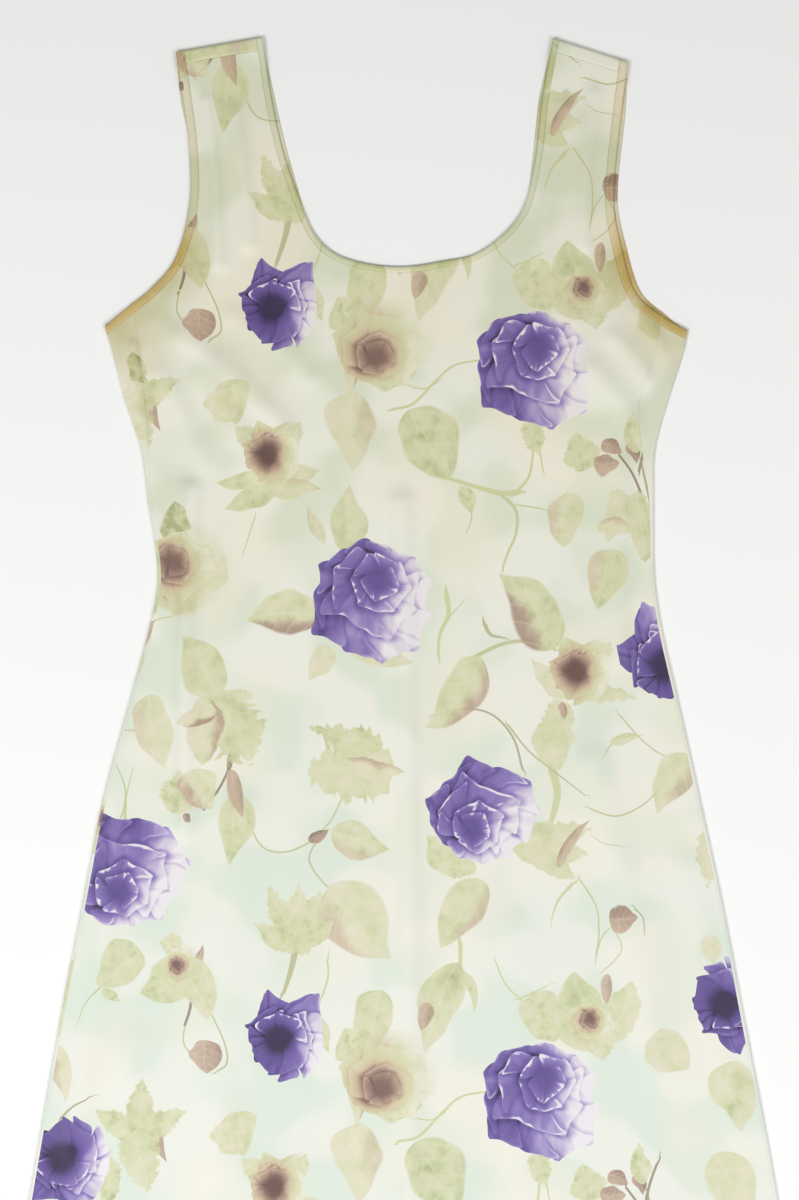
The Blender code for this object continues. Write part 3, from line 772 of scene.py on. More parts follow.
class PrintedSheet:
    # the corners and faces of one piece, and the motifs laid on them
    def __init__(self, piece, shift):
        self.mesh = piece.data
        self.shift = shift
        self.corners = self.read(self.mesh.uv_layers["cut"].uv, "vector", 2, float).reshape(-1, 2)
        self.starts = self.read(self.mesh.polygons, "loop_start", 1, int)
        self.totals = self.read(self.mesh.polygons, "loop_total", 1, int)
        self.centres = np.add.reduceat(self.corners, self.starts) / self.totals[:, None]
        self.data, self.near = {}, {}
        self.looks = np.zeros(len(self.starts), np.int32)

    def read(self, rows, name, parts, kind):
        values = np.empty(len(rows) * parts, np.float32 if kind is float else np.int32)
        rows.foreach_get(name, values)
        return values.astype(kind)

    def layer(self, name):
        # what the corners hold under a name, and how near each face's motif is
        if name not in self.data:
            self.data[name] = np.full((len(self.corners), 3), printing["far"])
            self.near[name] = np.full(len(self.centres), 1e9)
        return self.data[name], self.near[name]

    def claim(self, near, gaps, limit):
        # the faces that lie nearer to this motif than to others of its layer, and their corners
        faces = np.nonzero((gaps < limit) & (gaps < near))[0]
        near[faces] = gaps[faces]
        corners = [np.arange(self.starts[face], self.starts[face] + self.totals[face]) for face in faces]
        return faces, np.concatenate([np.arange(0), *corners])

    def store(self):
        for name, values in self.data.items():
            attribute = self.mesh.attributes.new(name, "FLOAT_VECTOR", "CORNER")
            attribute.data.foreach_set("vector", values.astype(np.float32).ravel())
        self.mesh.polygons.foreach_set("material_index", self.looks)


def beside(*parts):
    # numbers or arrays as the columns of one array
    return np.stack(np.broadcast_arrays(*parts), axis=-1)


def layRoses(sheet, looks):
    places, near = sheet.layer("roseAt")
    for index, (drawing, palette, x, drop, unit, angle, upright) in enumerate(roses):
        turned = math.radians(angle)
        cos, sin = math.cos(turned), math.sin(turned)
        seed = printing["roseSpread"] * index
        for start in repeats(sheet.shift):
            centre = start + np.array([x, drop]) * mm
            away = np.linalg.norm(sheet.centres - centre, axis=1)
            faces, corners = sheet.claim(near, away, printing["roseReach"] * unit * mm)
            out, up = ((sheet.corners[corners] - centre) / (unit * mm) * (1, -upright)).T
            places[corners] = beside(cos * out + sin * up, cos * up - sin * out, seed)
            sheet.looks[faces] = looks[drawing, palette]


def layLeaves(sheet):
    for index, (row, layer) in enumerate(zip(leaves, leafLayers())):
        base, way, length, half, bend = leafPlace(row)
        across = np.array([way[1], -way[0]])
        places, near = sheet.layer("leafAt" + str(layer))
        look, edge = (sheet.layer(word + str(layer))[0] for word in ("leafLook", "leafEdge"))
        blunt, tone, brown, side, spikes = (row[6:] + (0, 0, 0))[:5]

        def measured(place):
            # how far up the leaf, and how far out from its bent rib
            along, out = place @ way / length, place @ across
            t = np.clip(along, 0, 1)
            return along, out - bend * 4 * t * (1 - t)

        for start in repeats(sheet.shift):
            place = sheet.centres - base - start
            if np.linalg.norm(place, axis=1).min() > length + printing["bleed"]:
                continue
            along, out = measured(place)
            past = (np.abs(along - 0.5) - 0.5) * length
            past = np.maximum(past, np.abs(out) - half * printing["leafReach"])
            faces, corners = sheet.claim(near, past, printing["bleed"])
            along, out = measured(sheet.corners[corners] - base - start)
            places[corners] = beside(along, out / half, index)
            look[corners] = (tone, brown, side)
            edge[corners] = (blunt, spikes, half / length)


def layStems(sheet):
    for index, (*points, thick, thin, brown) in enumerate(stems):
        points = np.reshape(points, (-1, 2)) * mm
        keys = lengthsAlong(points)
        steps = max(int(keys[-1] / printing["stemStep"]), 2)
        path = smoothAt(keys, points, np.linspace(0, keys[-1], steps + 1))
        runs = np.diff(path, axis=0)
        lengths = np.linalg.norm(runs, axis=1)
        ways = runs / lengths[:, None]
        places, near = sheet.layer("stemAt" + str(index % printing["stems"]))
        limit = max(thick, thin) * mm + printing["bleed"]

        def measured(place):
            # distance to the path, signed across it, and how far along it
            offset = place[:, None] - path[None, :-1]
            along = np.clip((offset * ways).sum(-1), 0, lengths)
            gap = offset - ways * along[..., None]
            away = np.linalg.norm(gap, axis=-1)
            best = away.argmin(axis=1)
            rows = np.arange(len(place))
            offset, way = offset[rows, best], ways[best]
            signed = np.sign(offset[:, 0] * way[:, 1] - offset[:, 1] * way[:, 0])
            return away[rows, best], signed, (best + along[rows, best] / lengths[best]) / len(runs)

        middle = path.mean(axis=0)
        reach = np.linalg.norm(path - middle, axis=1).max() + limit
        for start in repeats(sheet.shift):
            gaps = np.linalg.norm(sheet.centres - middle - start, axis=1)
            close = gaps < reach
            gaps[:] = 1e9
            gaps[close] = measured(sheet.centres[close] - start)[0]
            corners = sheet.claim(near, gaps, limit)[1]
            away, signed, along = measured(sheet.corners[corners] - start)
            half = (thick + (thin - thick) * along) * mm
            places[corners] = beside(signed * away / half, along, brown)


def treeOf(values):
    # the node tree of the sockets among the values
    return next(value.id_data for value in values if isinstance(value, bpy.types.NodeSocket))


def feed(socket, value):
    if isinstance(value, bpy.types.NodeSocket):
        socket.id_data.links.new(value, socket)
    else:
        socket.default_value = value


def addNode(tree, kind, inputs=(), **settings):
    # a shader node's outputs, with its inputs fed in order or by name
    node = tree.nodes.new("ShaderNode" + kind)
    for name, value in settings.items():
        setattr(node, name, value)
    for key, value in inputs.items() if isinstance(inputs, dict) else enumerate(inputs):
        feed(node.inputs[key], value)
    return node.outputs


def vectors(operation, *values):
    outputs = addNode(treeOf(values), "VectorMath", values, operation=operation)
    return outputs["Value" if operation == "LENGTH" else "Vector"]


def maths(operation, *values):
    return addNode(treeOf(values), "Math", values, operation=operation)[0]


def times(first, second, *plus):
    # their product, plus a third value if there is one
    return maths("MULTIPLY_ADD" if plus else "MULTIPLY", first, second, *plus)


def swung(value, amount):
    # noise from 0 to 1 as something to add, from minus half an amount to half of it
    return times(value, amount, -amount / 2)


def minus(first, second):
    return maths("SUBTRACT", first, second)


def mix(kind, factor, under, over):
    # kind is FLOAT, VECTOR or RGBA; each has its own sockets on the node
    first, result = {"FLOAT": (2, 0), "VECTOR": (4, 1), "RGBA": (6, 2)}[kind]
    inputs = {0: factor, first: under, first + 1: over}
    return addNode(treeOf(inputs.values()), "Mix", inputs, data_type=kind)[result]


def ramp(factor, stops):
    # colours along a factor, from rows of its value and a paint
    outputs = addNode(factor.id_data, "ValToRGB", [factor])
    elements = outputs[0].node.color_ramp.elements
    while len(elements) < len(stops):
        elements.new(0.5)
    for element, (position, *shade) in zip(elements, stops):
        element.position = position
        element.color = paint(*shade)
    return outputs["Color"]


def rise(value, low, high):
    # 0 at low, 1 at high, smooth between; a high below low makes it fall
    inputs = {"Value": value, "From Min": low, "From Max": high}
    return addNode(value.id_data, "MapRange", inputs, interpolation_type="SMOOTHSTEP")["Result"]


def noise(place, scale, detail=1.0, roughness=0.5, colour=False):
    inputs = {"Vector": place, "Scale": scale, "Detail": detail, "Roughness": roughness}
    return addNode(place.id_data, "TexNoise", inputs)["Color" if colour else 0]


def separate(vector):
    return addNode(vector.id_data, "SeparateXYZ", [vector])[:]


def combine(*parts):
    return addNode(treeOf(parts), "CombineXYZ", parts)[0]


groups = {}


def newGroup(name, inputs, outputs):
    # an empty node group: what it is given, and what it makes
    tree = groups[name] = bpy.data.node_groups.new(name, "ShaderNodeTree")
    for direction, sockets in (("INPUT", inputs), ("OUTPUT", outputs)):
        for socketName, kind in sockets.items():
            tree.interface.new_socket(socketName, in_out=direction, socket_type="NodeSocket" + kind)
    return tree.nodes.new("NodeGroupInput").outputs, tree.nodes.new("NodeGroupOutput").inputs


def useGroup(name, **values):
    return addNode(treeOf(values.values()), "Group", values, node_tree=groups[name])


# Petals, back to front: first corner's angle and reach from the heart, second corner's, the foot's,
# tone at the foot and both corners, and how white the rim is at both corners
openPetals = (
    (100, 0.72, 50, 0.88, 230, 0.2, 0.55, 0.8, 1, 0.1, 0.3),
    (56, 0.82, 14, 1.12, 200, 0.3, 0.6, 0.9, 1.02, 0.3, 0.2),
    (22, 1, -16, 1.32, 170, 0.3, 0.7, 1.05, 0.92, 0.2, 0.3),
    (-8, 1.28, -38, 1.72, 140, 0.3, 0.7, 1.02, 0.88, 0.3, 0.4),
    (-32, 1.58, -66, 1.74, 110, 0.3, 0.4, 0.98, 0.62, 0.3, 0.3),
    (-62, 1.66, -94, 1.58, 85, 0.3, 0.1, 0.62, 0.3, 0.5, 0.1),
    (-92, 1.5, -118, 1.7, 60, 0.3, 0.05, 0.34, 0.18, 0.3, 0.2),
    (-112, 1.56, -152, 1.22, 40, 0.3, 0.05, 0.22, 0.36, 0.2, 0.6),
    (-140, 1.2, -174, 1.3, 10, 0.3, 0.05, 0.24, 0.34, 0.6, 0.2),
    (-168, 1.22, 160, 1, -20, 0.3, 0.08, 0.18, 0.44, 0.2, 0.5),
    (166, 0.96, 126, 0.82, -50, 0.3, 0.08, 0.3, 0.4, 0.5, 0.3),
    (134, 0.78, 92, 0.74, -90, 0.3, 0.12, 0.26, 0.7, 0.3, 0.6),
    # broad front petals
    (32, 0.82, -22, 1.02, 150, 0.3, 0.7, 1.02, 0.98, 0.3, 0.3),
    (-14, 1.02, -56, 1.32, 125, 0.3, 0.35, 0.98, 0.7, 0.3, 0.6),
    (-50, 1.28, -126, 1.34, 80, 0.3, 0.08, 0.66, 0.3, 0.9, 0.4),
    (-118, 1.1, -176, 0.98, 30, 0.3, 0.02, 0.26, 0.46, 0.4, 1),
    (-170, 0.94, 146, 0.8, -30, 0.3, 0.04, 0.26, 0.5, 0.9, 0.4),
    # ring about the heart
    (66, 0.62, 8, 0.68, -150, 0.2, 0.45, 0.8, 0.95, 0.6, 0.8),
    (14, 0.7, -46, 0.74, 160, 0.2, 0.3, 0.92, 0.8, 0.8, 0.7),
    (-38, 0.78, -106, 0.72, 110, 0.2, 0.1, 0.76, 0.38, 0.9, 1),
    (-98, 0.7, -164, 0.62, 50, 0.2, 0.02, 0.34, 0.34, 1, 0.6),
    (-160, 0.6, -232, 0.54, 10, 0.2, 0.06, 0.3, 0.5, 0.7, 1),
    (124, 0.54, 62, 0.56, -60, 0.2, 0.08, 0.42, 0.66, 0.9, 0.4),
    # heart
    (70, 0.44, 0, 0.48, -140, 0.15, 0.12, 0.45, 0.74, 0.3, 1),
    (0, 0.49, -80, 0.52, 140, 0.15, 0.08, 0.66, 0.44, 0.9, 0.8),
    (-75, 0.5, -150, 0.44, 80, 0.15, 0.04, 0.42, 0.28, 0.8, 0.3),
)
cupPetals = (
    # horns and back petals
    (108, 1.34, 74, 0.92, -80, 0.3, 0.1, 0.3, 0.22, 0.3, 0.1),
    (108, 1.34, 142, 0.8, -50, 0.3, 0.1, 0.3, 0.14, 0.3, 0.1),
    (50, 1.56, 82, 0.86, 230, 0.3, 0.15, 0.36, 0.24, 0.5, 0.1),
    (50, 1.56, 12, 1.08, 200, 0.3, 0.2, 0.4, 0.8, 0.3, 0.3),
    (32, 1.16, -8, 1.14, 180, 0.3, 0.4, 0.72, 0.98, 0.3, 0.4),
    (0, 1.14, -38, 1.2, 165, 0.3, 0.5, 0.98, 0.88, 0.4, 0.2),
    (-32, 1.16, -66, 1.24, 140, 0.3, 0.4, 0.98, 0.6, 0.3, 0.6),
    (-68, 1.12, -98, 1.16, 90, 0.3, 0.08, 0.5, 0.18, 0.5, 0.2),
    # cup
    (162, 1.04, 100, 0.84, -30, 0.3, 0, 0.14, 0.26, 0.5, 0.2),
    (-170, 0.88, 158, 0.92, 0, 0.3, 0, 0.1, 0.2, 0.2, 0.7),
    (-138, 0.94, 178, 0.86, 20, 0.3, 0, 0.12, 0.15, 0.1, 0.3),
    (48, 0.94, -22, 0.92, 190, 0.3, 0.15, 0.62, 0.9, 0.9, 0.6),
    (4, 0.88, -62, 1, 150, 0.3, 0.12, 0.8, 0.66, 0.8, 0.9),
    (56, 0.78, -14, 0.72, 200, 0.3, 0.04, 0.4, 0.66, 1, 0.9),
    (-55, 0.96, -114, 1.08, 90, 0.3, 0.02, 0.38, 0.16, 0.5, 0.1),
    (-106, 1.04, -162, 0.9, 60, 0.3, 0, 0.12, 0.12, 0.1, 0.2),
    (154, 0.8, 84, 0.72, -60, 0.3, 0, 0.14, 0.3, 0.8, 0.8),
    (104, 0.64, 36, 0.72, -90, 0.3, 0, 0.16, 0.4, 0.4, 0.9),
)
# fold: width of a petal's rim; pale: how much paler the right side is; twist: how far the petals swirl
drawings = {
    "open": {
        "petals": openPetals,
        "centre": (-0.20, 0.34),
        "eye": (-0.20, 0.36, 0.32),
        "eyeTone": 0.06,
        "twist": -0.6,
        "fold": 0.11,
        "pale": 0.17,
    },
    "cup": {
        "petals": cupPetals,
        "centre": (0, 0),
        "eye": (-0.08, -0.04, 0.50),
        "eyeTone": -0.22,
        "twist": 0.3,
        "fold": 0.10,
        "pale": 0.14,
    },
}
petal = {
    "shadow": (-0.19, -0.3, 0),  # what a petal's shadow adds to the tone and the rim of those behind it
    "shadowReach": 2.3,  # how far it reaches, in folds
    "footRim": -0.6,  # the rim's whiteness at every petal's foot
    "bend": 0.26,  # how far the rose is bent out of true, and over how much of it
    "bendScale": 1.6,
    "veins": 0.22,  # how much darker and paler the veins and the broad streaks are
    "streaks": 0.8,
    "veinsFrom": 0.3,  # reach at which they set in, and at which they are full
    "veinsFull": 1.2,
    "rimTone": 0.98,
    "eyeFrom": 1.25,  # where the dark eye starts and where it is darkest, in its own reach
    "eyeFull": 0.45,
    "eyeDepth": 0.85,
}
leaf = {
    "widest": 0.36,  # how far up a leaf it is widest, and how slowly it swells to there
    "swell": 0.56,
    "wave": 0.6,  # how unevenly it is bent
    "teeth": 6.0,  # teeth and branches along a leaf
    "branches": 4.5,
    "bite": 3.0,  # how deep the teeth of a spiky leaf are
    "ragged": 0.10,  # how ragged the others are
    "cover": 0.90,  # how much of the ground a leaf hides
    "rib": 0.22,  # how much paler the rib is
    "ribPaint": paint(228, 226, 200),
}
ground = {
    "base": paint(229, 230, 221),
    "mintHigh": paint(211, 216, 195),  # the green wash at the shoulders, and further down
    "mintLow": paint(214, 225, 212),
    "cream": paint(234, 228, 214),
    "mintScale": 15.0,  # washes per metre, and the small clouds in the green one
    "creamScale": 12.0,
    "cloudScale": 48.0,
    "highDrop": 0.15,  # drops between which the shoulders' paints give way
    "lowDrop": 0.75,
}
palettes = {
    "purple": (
        (0, 52, 40, 76),
        (0.15, 90, 72, 136),
        (0.36, 112, 93, 160),
        (0.58, 142, 125, 185),
        (0.76, 184, 171, 208),
        (0.9, 212, 204, 220),
        (1, 229, 224, 230),
    ),
    "ghost": (
        (0, 104, 80, 74),
        (0.15, 134, 106, 98),
        (0.32, 168, 142, 126),
        (0.5, 202, 184, 156),
        (0.7, 206, 204, 166),
        (0.86, 213, 213, 182),
        (1, 224, 222, 202),
    ),
    "leaf": (
        (0, 222, 214, 192),
        (0.3, 214, 212, 182),
        (0.6, 204, 207, 166),
        (0.85, 186, 191, 144),
        (1, 164, 169, 118),
    ),
    "brown": ((0, 212, 192, 172), (0.4, 188, 162, 142), (0.7, 154, 124, 110), (1, 110, 84, 78)),
    "thread": ((0.3, 196, 200, 170), (0.7, 226, 228, 206)),
}


def flatRise(points, values):
    # a, b and c of the plane a x + b y + c through three values
    (x0, y0), (x1, y1), (x2, y2) = points
    v0, v1, v2 = values
    area = (x1 - x0) * (y2 - y0) - (x2 - x0) * (y1 - y0)
    a = ((v1 - v0) * (y2 - y0) - (v2 - v0) * (y1 - y0)) / area
    b = ((x1 - x0) * (v2 - v0) - (x2 - x0) * (v1 - v0)) / area
    return a, b, v0 - a * x0 - b * y0


def edgeRise(start, end, inside, band):
    # a, b and c of a plane that is 1 on an edge and 0 at a band's width inside it
    runX, runY = end[0] - start[0], end[1] - start[1]
    length = math.hypot(runX, runY)
    outX, outY = runY / length, -runX / length
    if (inside[0] - start[0]) * outX + (inside[1] - start[1]) * outY > 0:
        outX, outY = -outX, -outY
    return outX / band, outY / band, 1 - (outX * start[0] + outY * start[1]) / band


def planes(x, y, rows):
    # three planes at once, one in each part of a vector
    alongX, alongY, level = zip(*rows)
    return vectors("MULTIPLY_ADD", y, alongY, vectors("MULTIPLY_ADD", x, alongX, level))


def addPetal(x, y, carried, away, row, drawing):
    centreX, centreY = drawing["centre"]
    corners = []
    for angle, reach in (row[4:6], row[:2], row[2:4]):
        angle = math.radians(angle) + drawing["twist"] * (reach - 0.5)
        corners.append((centreX + reach * math.cos(angle), centreY + reach * math.sin(angle)))
    turned = [corners[index:] + corners[:index] for index in range(3)]
    edges = [edgeRise(*places, drawing["fold"]) for places in turned]
    petalAway = vectors("LENGTH", vectors("MAXIMUM", planes(x, y, edges), (0, 0, 0)))
    inside = maths("LESS_THAN", petalAway, 1.0)
    tones = flatRise(corners, row[6:9])
    rims = flatRise(corners, (petal["footRim"], *row[9:]))
    look = planes(x, y, (tones, rims, (0, 0, 0)))
    shade = {0: petal["shadow"], "Scale": rise(petalAway, petal["shadowReach"], 1.0)}
    shadow = addNode(x.id_data, "VectorMath", shade, operation="SCALE")[0]
    carried = vectors("ADD", carried, shadow)
    return mix("VECTOR", inside, carried, look), mix("FLOAT", inside, away, petalAway)


def roseDrawing(name):
    drawing = drawings[name]
    inputs = {"At": "Vector", "Rims": "Float", "Eye": "Float"}
    given, made = newGroup(name + " rose", inputs, {"Tone": "Float", "Mask": "Float", "Reach": "Float"})
    centre = (*drawing["centre"], 0)
    bend = petal["bend"]
    bent = noise(given["At"], petal["bendScale"], colour=True)
    bent = vectors("MULTIPLY_ADD", bent, (bend, bend, 0), (-bend / 2, -bend / 2, 0))
    at = vectors("ADD", given["At"], bent)
    reach = vectors("LENGTH", vectors("MULTIPLY_ADD", at, (1, 1, 0), (-centre[0], -centre[1], 0)))
    swirl = {"Vector": at, "Center": centre, "Angle": swung(reach, drawing["twist"])}
    x, y = separate(addNode(at.id_data, "VectorRotate", swirl)[0])[:2]
    x, y = combine(x, x, x), combine(y, y, y)
    carried, away = (0.0, -1.0, 0.0), printing["far"]
    for row in drawing["petals"]:
        carried, away = addPetal(x, y, carried, away, row, drawing)
    tone, rim = separate(carried)[:2]
    # fine veins that run out from the heart
    outX, outY, seed = separate(vectors("SUBTRACT", at, centre))
    veinAt = combine(times(maths("ARCTAN2", outY, outX), 5.0), times(reach, 1.2), seed)
    vein = noise(veinAt, 3.0, 2.0, 0.6)
    streak = noise(vectors("ADD", veinAt, (2.3, 0.4, 1.1)), 0.8)
    grown = rise(reach, petal["veinsFrom"], petal["veinsFull"])
    tone = times(swung(vein, petal["veins"]), grown, tone)
    tone = times(swung(streak, petal["streaks"]), grown, tone)
    # paler on the side that the light in the drawing comes from
    tone = times(rise(outX, 0.1, 1.2), drawing["pale"], tone)
    # soft pale rims of uneven width
    width = times(vein, 0.5, times(streak, 2.2, -0.75))
    line = times(rise(minus(away, width), -0.1, 0.6), given["Rims"])
    line = times(times(line, rise(rim, 0.0, 0.9)), rise(away, 1.0, 0.9))
    tone = mix("FLOAT", maths("MINIMUM", line, 1.0), tone, petal["rimTone"])
    # the dark eye
    eyeX, eyeY, eyeReach = drawing["eye"]
    scale = 1 / eyeReach
    fromEye = vectors("MULTIPLY_ADD", at, (scale, scale, 0), (-eyeX * scale, -eyeY * scale, 0))
    fromEye = maths("DIVIDE", vectors("LENGTH", fromEye), given["Eye"])
    dark = times(rise(fromEye, petal["eyeFrom"], petal["eyeFull"]), petal["eyeDepth"])
    shaded = mix("FLOAT", dark, tone, drawing["eyeTone"])
    feed(made["Tone"], times(shaded, 0.85, 0.15))
    feed(made["Mask"], maths("LESS_THAN", away, 5.0))
    feed(made["Reach"], reach)


def leafDrawing():
    inputs = {"At": "Vector", "Look": "Vector", "Edge": "Vector"}
    given, made = newGroup("leaf", inputs, {"Color": "Color", "Mask": "Float"})
    along, out, seed = separate(given["At"])
    tone, brown, side = separate(given["Look"])
    blunt, spikes, slim = separate(given["Edge"])
    # drawn out to a point
    low = maths("DIVIDE", along, leaf["widest"])
    high = maths("DIVIDE", minus(1.0, along), 1 - leaf["widest"])
    low = maths("POWER", maths("MAXIMUM", low, 0.0), leaf["swell"])
    high = maths("MAXIMUM", high, 0.0)
    profile = maths("POWER", times(low, high), times(blunt, 1.7))
    noiseAt = combine(along, times(out, slim), times(seed, 3.7))
    rough = noise(noiseAt, 4.0, 2.0, 0.55)
    wave = noise(vectors("ADD", noiseAt, (0.7, 5.1, 2.3)), 2.6, 0.0)
    out = maths("ADD", out, swung(wave, leaf["wave"]))
    teeth = maths("PINGPONG", times(along, leaf["teeth"], times(rough, 3.0)), 0.5)
    bite = times(rough, leaf["ragged"], times(times(teeth, leaf["bite"]), spikes))
    size = maths("ABSOLUTE", out)
    edge = minus(minus(profile, size), bite)
    feed(made["Mask"], times(rise(edge, -0.04, 0.09), leaf["cover"]))
    # pale olive to dark olive, lighter towards the edge and in patches
    shade = times(rough, 1.5, times(tone, 0.6, -0.70))
    shade = times(maths("GREATER_THAN", out, 0.0), 0.06, shade)
    colour = ramp(shade, palettes["leaf"])
    # brown along one side, or all over
    whole = minus(1.0, maths("ABSOLUTE", side))
    place = times(whole, times(brown, 1.0, -0.15), times(out, side))
    place = maths("ADD", minus(place, 0.45), times(rough, 0.9, -0.1))
    spread = times(rise(place, 0.0, 0.55), maths("MINIMUM", brown, 1.0))
    dark = times(out, 0.22, times(brown, 0.5, times(rough, 0.4, -0.25)))
    colour = mix("RGBA", spread, colour, ramp(dark, palettes["brown"]))
    # the rib down the middle, and its branches
    middle = maths("ABSOLUTE", times(rough, 0.1, minus(out, 0.05)))
    branch = maths("PINGPONG", times(size, -1.3, times(along, leaf["branches"])), 0.5)
    rib = maths("MAXIMUM", rise(middle, 0.09, 0.02), rise(branch, 0.10, 0.0))
    rib = times(rib, times(rise(profile, 0.1, 0.5), leaf["rib"]))
    feed(made["Color"], mix("RGBA", rib, colour, leaf["ribPaint"]))


def stemDrawing():
    given, made = newGroup("stem", {"At": "Vector"}, {"Color": "Color", "Mask": "Float"})
    out, along, brown = separate(given["At"])
    feed(made["Mask"], times(rise(maths("ABSOLUTE", out), 1.15, 0.75), 0.85))
    colours = (paint(198, 202, 152), paint(138, 116, 96))
    feed(made["Color"], mix("RGBA", maths("MINIMUM", brown, 1.0), *colours))


def groundDrawing():
    # mint and cream washes that drift into one another, creamier towards the shoulders
    given, made = newGroup("washed ground", {"Place": "Vector"}, {"Color": "Color"})
    place = given["Place"]
    cloud = noise(place, ground["cloudScale"], 2.0)
    mint = noise(place, ground["mintScale"])
    cream = noise(vectors("ADD", place, (3.1, 1.7, 0.4)), ground["creamScale"], 1.0, 0.45)
    high = rise(separate(place)[1], ground["lowDrop"], ground["highDrop"])
    mint = rise(times(cloud, 0.10, mint), 0.47, 0.64)
    green = mix("RGBA", high, ground["mintLow"], ground["mintHigh"])
    colour = mix("RGBA", times(mint, 0.9), ground["base"], green)
    cream = times(rise(cream, 0.47, 0.63), times(high, 0.35, 0.40))
    feed(made["Color"], mix("RGBA", cream, colour, ground["cream"]))


tintAndStains = {
    "shoulderTint": paint(253, 251, 243),  # a yellow tint over the whole dress, strongest at the shoulders
    "stain": paint(216, 204, 152),
    "bindingStain": paint(236, 212, 162),
    "stains": ((0.180, 0.178, 0.050), (0.212, 0.218, 0.062)),  # half width, drop and reach of each
}


def tintAndStainDrawing():
    # yellower towards the shoulders, and stained under the arms
    inputs = {"Color": "Color", "Place": "Vector", "Stain": "Float", "Stain Color": "Color"}
    given, made = newGroup("shoulder tint and stains", inputs, {"Color": "Color"})
    mirrored = vectors("ABSOLUTE", given["Place"])
    spread = 0.0
    for half, drop, reach in tintAndStains["stains"]:
        away = vectors("LENGTH", vectors("SUBTRACT", mirrored, (half, drop, 0)))
        spread = maths("MAXIMUM", rise(away, reach, 0.0), spread)
    spread = times(spread, times(noise(given["Place"], 30.0, 2.0, 0.6), 0.9, 0.45))
    spread = maths("MINIMUM", times(spread, given["Stain"]), 1.0)
    stained = vectors("MULTIPLY", given["Color"], given["Stain Color"])
    colour = mix("VECTOR", spread, given["Color"], stained)
    # the yellow tint grows from nothing 0.9 m below the shoulders to full at the top
    tinted = vectors("MULTIPLY", colour, tintAndStains["shoulderTint"][:3])
    feed(made["Color"], mix("VECTOR", rise(separate(given["Place"])[1], 0.9, 0.0), colour, tinted))


print("print")
for name in drawings:
    roseDrawing(name)
leafDrawing()
stemDrawing()
groundDrawing()
tintAndStainDrawing()

roseLook = {
    "purple": {"Rims": 1.5, "Eye": 1.0},  # how strong the pale rims are, how wide the dark eye is
    "ghost": {"Rims": 0.25, "Eye": 0.85},
}
ghost = {
    "fadeFrom": 1.7,  # reach at which a ghost rose starts to show, and shows fully
    "fadeFull": 0.9,
    "tone": 0.52,  # share of the drawing's tone, and how much paler it is away from the heart
    "paler": 0.5,
}
crepeLook = {
    "roughness": 0.52,
    "specular": 0.35,
    "sheen": 0.12,
    "grainScale": 900.0,  # crepe grains per metre
    "grainDepth": 0.00006,
}


def newMaterial(name, roughness):
    # a material, and its shader's inputs
    material = bpy.data.materials.new(name)
    material.use_nodes = True
    inputs = material.node_tree.nodes["Principled BSDF"].inputs
    inputs["Roughness"].default_value = roughness
    return material, inputs


def crepe(name, drawing=None, palette=None, tint=None, stain=0.75):
    # the dress's cloth, where a rose lies or where none does, and its bindings
    material, shader = newMaterial(name, crepeLook["roughness"])
    tree = material.node_tree

    def attribute(name):
        return addNode(tree, "Attribute", attribute_name=name)["Vector"]

    # x and drop of the cloth where it lies
    place = vectors("MULTIPLY_ADD", addNode(tree, "TexCoord")["Object"], (1, -1, 0), (0, topEdge, 0))
    colour = useGroup("washed ground", Place=place)["Color"]
    for layer in range(printing["stems"]):
        stem = useGroup("stem", At=attribute("stemAt" + str(layer)))
        colour = mix("RGBA", stem["Mask"], colour, stem["Color"])
    for layer in range(printing["leaves"]):
        given = {word: attribute("leaf" + word + str(layer)) for word in ("At", "Look", "Edge")}
        made = useGroup("leaf", **given)
        colour = mix("RGBA", made["Mask"], colour, made["Color"])
    if drawing:
        rose = useGroup(drawing + " rose", At=attribute("roseAt"), **roseLook[palette])
        strength, tone = rose["Mask"], rose["Tone"]
        if palette == "ghost":
            strength = times(strength, rise(rose["Reach"], ghost["fadeFrom"], ghost["fadeFull"]))
            tone = times(tone, ghost["tone"], times(rise(rose["Reach"], 0.25, 1.0), ghost["paler"]))
        colour = mix("RGBA", strength, colour, ramp(tone, palettes[palette]))
    stains = {"Stain": stain, "Stain Color": tintAndStains["bindingStain" if tint else "stain"]}
    colour = useGroup("shoulder tint and stains", Color=colour, Place=place, **stains)["Color"]
    if tint:
        colour = vectors("MULTIPLY", colour, tint[:3])
    feed(shader["Base Color"], colour)
    grain = noise(addNode(tree, "UVMap", uv_map="cut")[0], crepeLook["grainScale"], 1.0, 0.6)
    bump = addNode(tree, "Bump", {"Distance": crepeLook["grainDepth"], "Height": grain})
    feed(shader["Normal"], bump[0])
    shader["Specular IOR Level"].default_value = crepeLook["specular"]
    shader["Sheen Weight"].default_value = crepeLook["sheen"]
    return material


crepes = [crepe("floral crepe")]
roseLooks = {}
for drawing, palette in (rose[:2] for rose in roses):
    if (drawing, palette) not in roseLooks:
        roseLooks[drawing, palette] = len(crepes)
        crepes.append(crepe(f"crepe with {palette} {drawing} rose", drawing, palette))
neckCrepe = crepe("neck binding crepe", tint=paint(240, 241, 226), stain=0.3)
armholeCrepe = crepe("armhole binding crepe", tint=paint(243, 238, 222), stain=1.5)


def finishCloth(piece, shift=(0, 0), withRoses=True):
    # the print, then the cloth's thickness
    sheet = PrintedSheet(piece, shift)
    if withRoses:
        layRoses(sheet, roseLooks)
    layLeaves(sheet)
    layStems(sheet)
    sheet.store()
    thicken(piece)


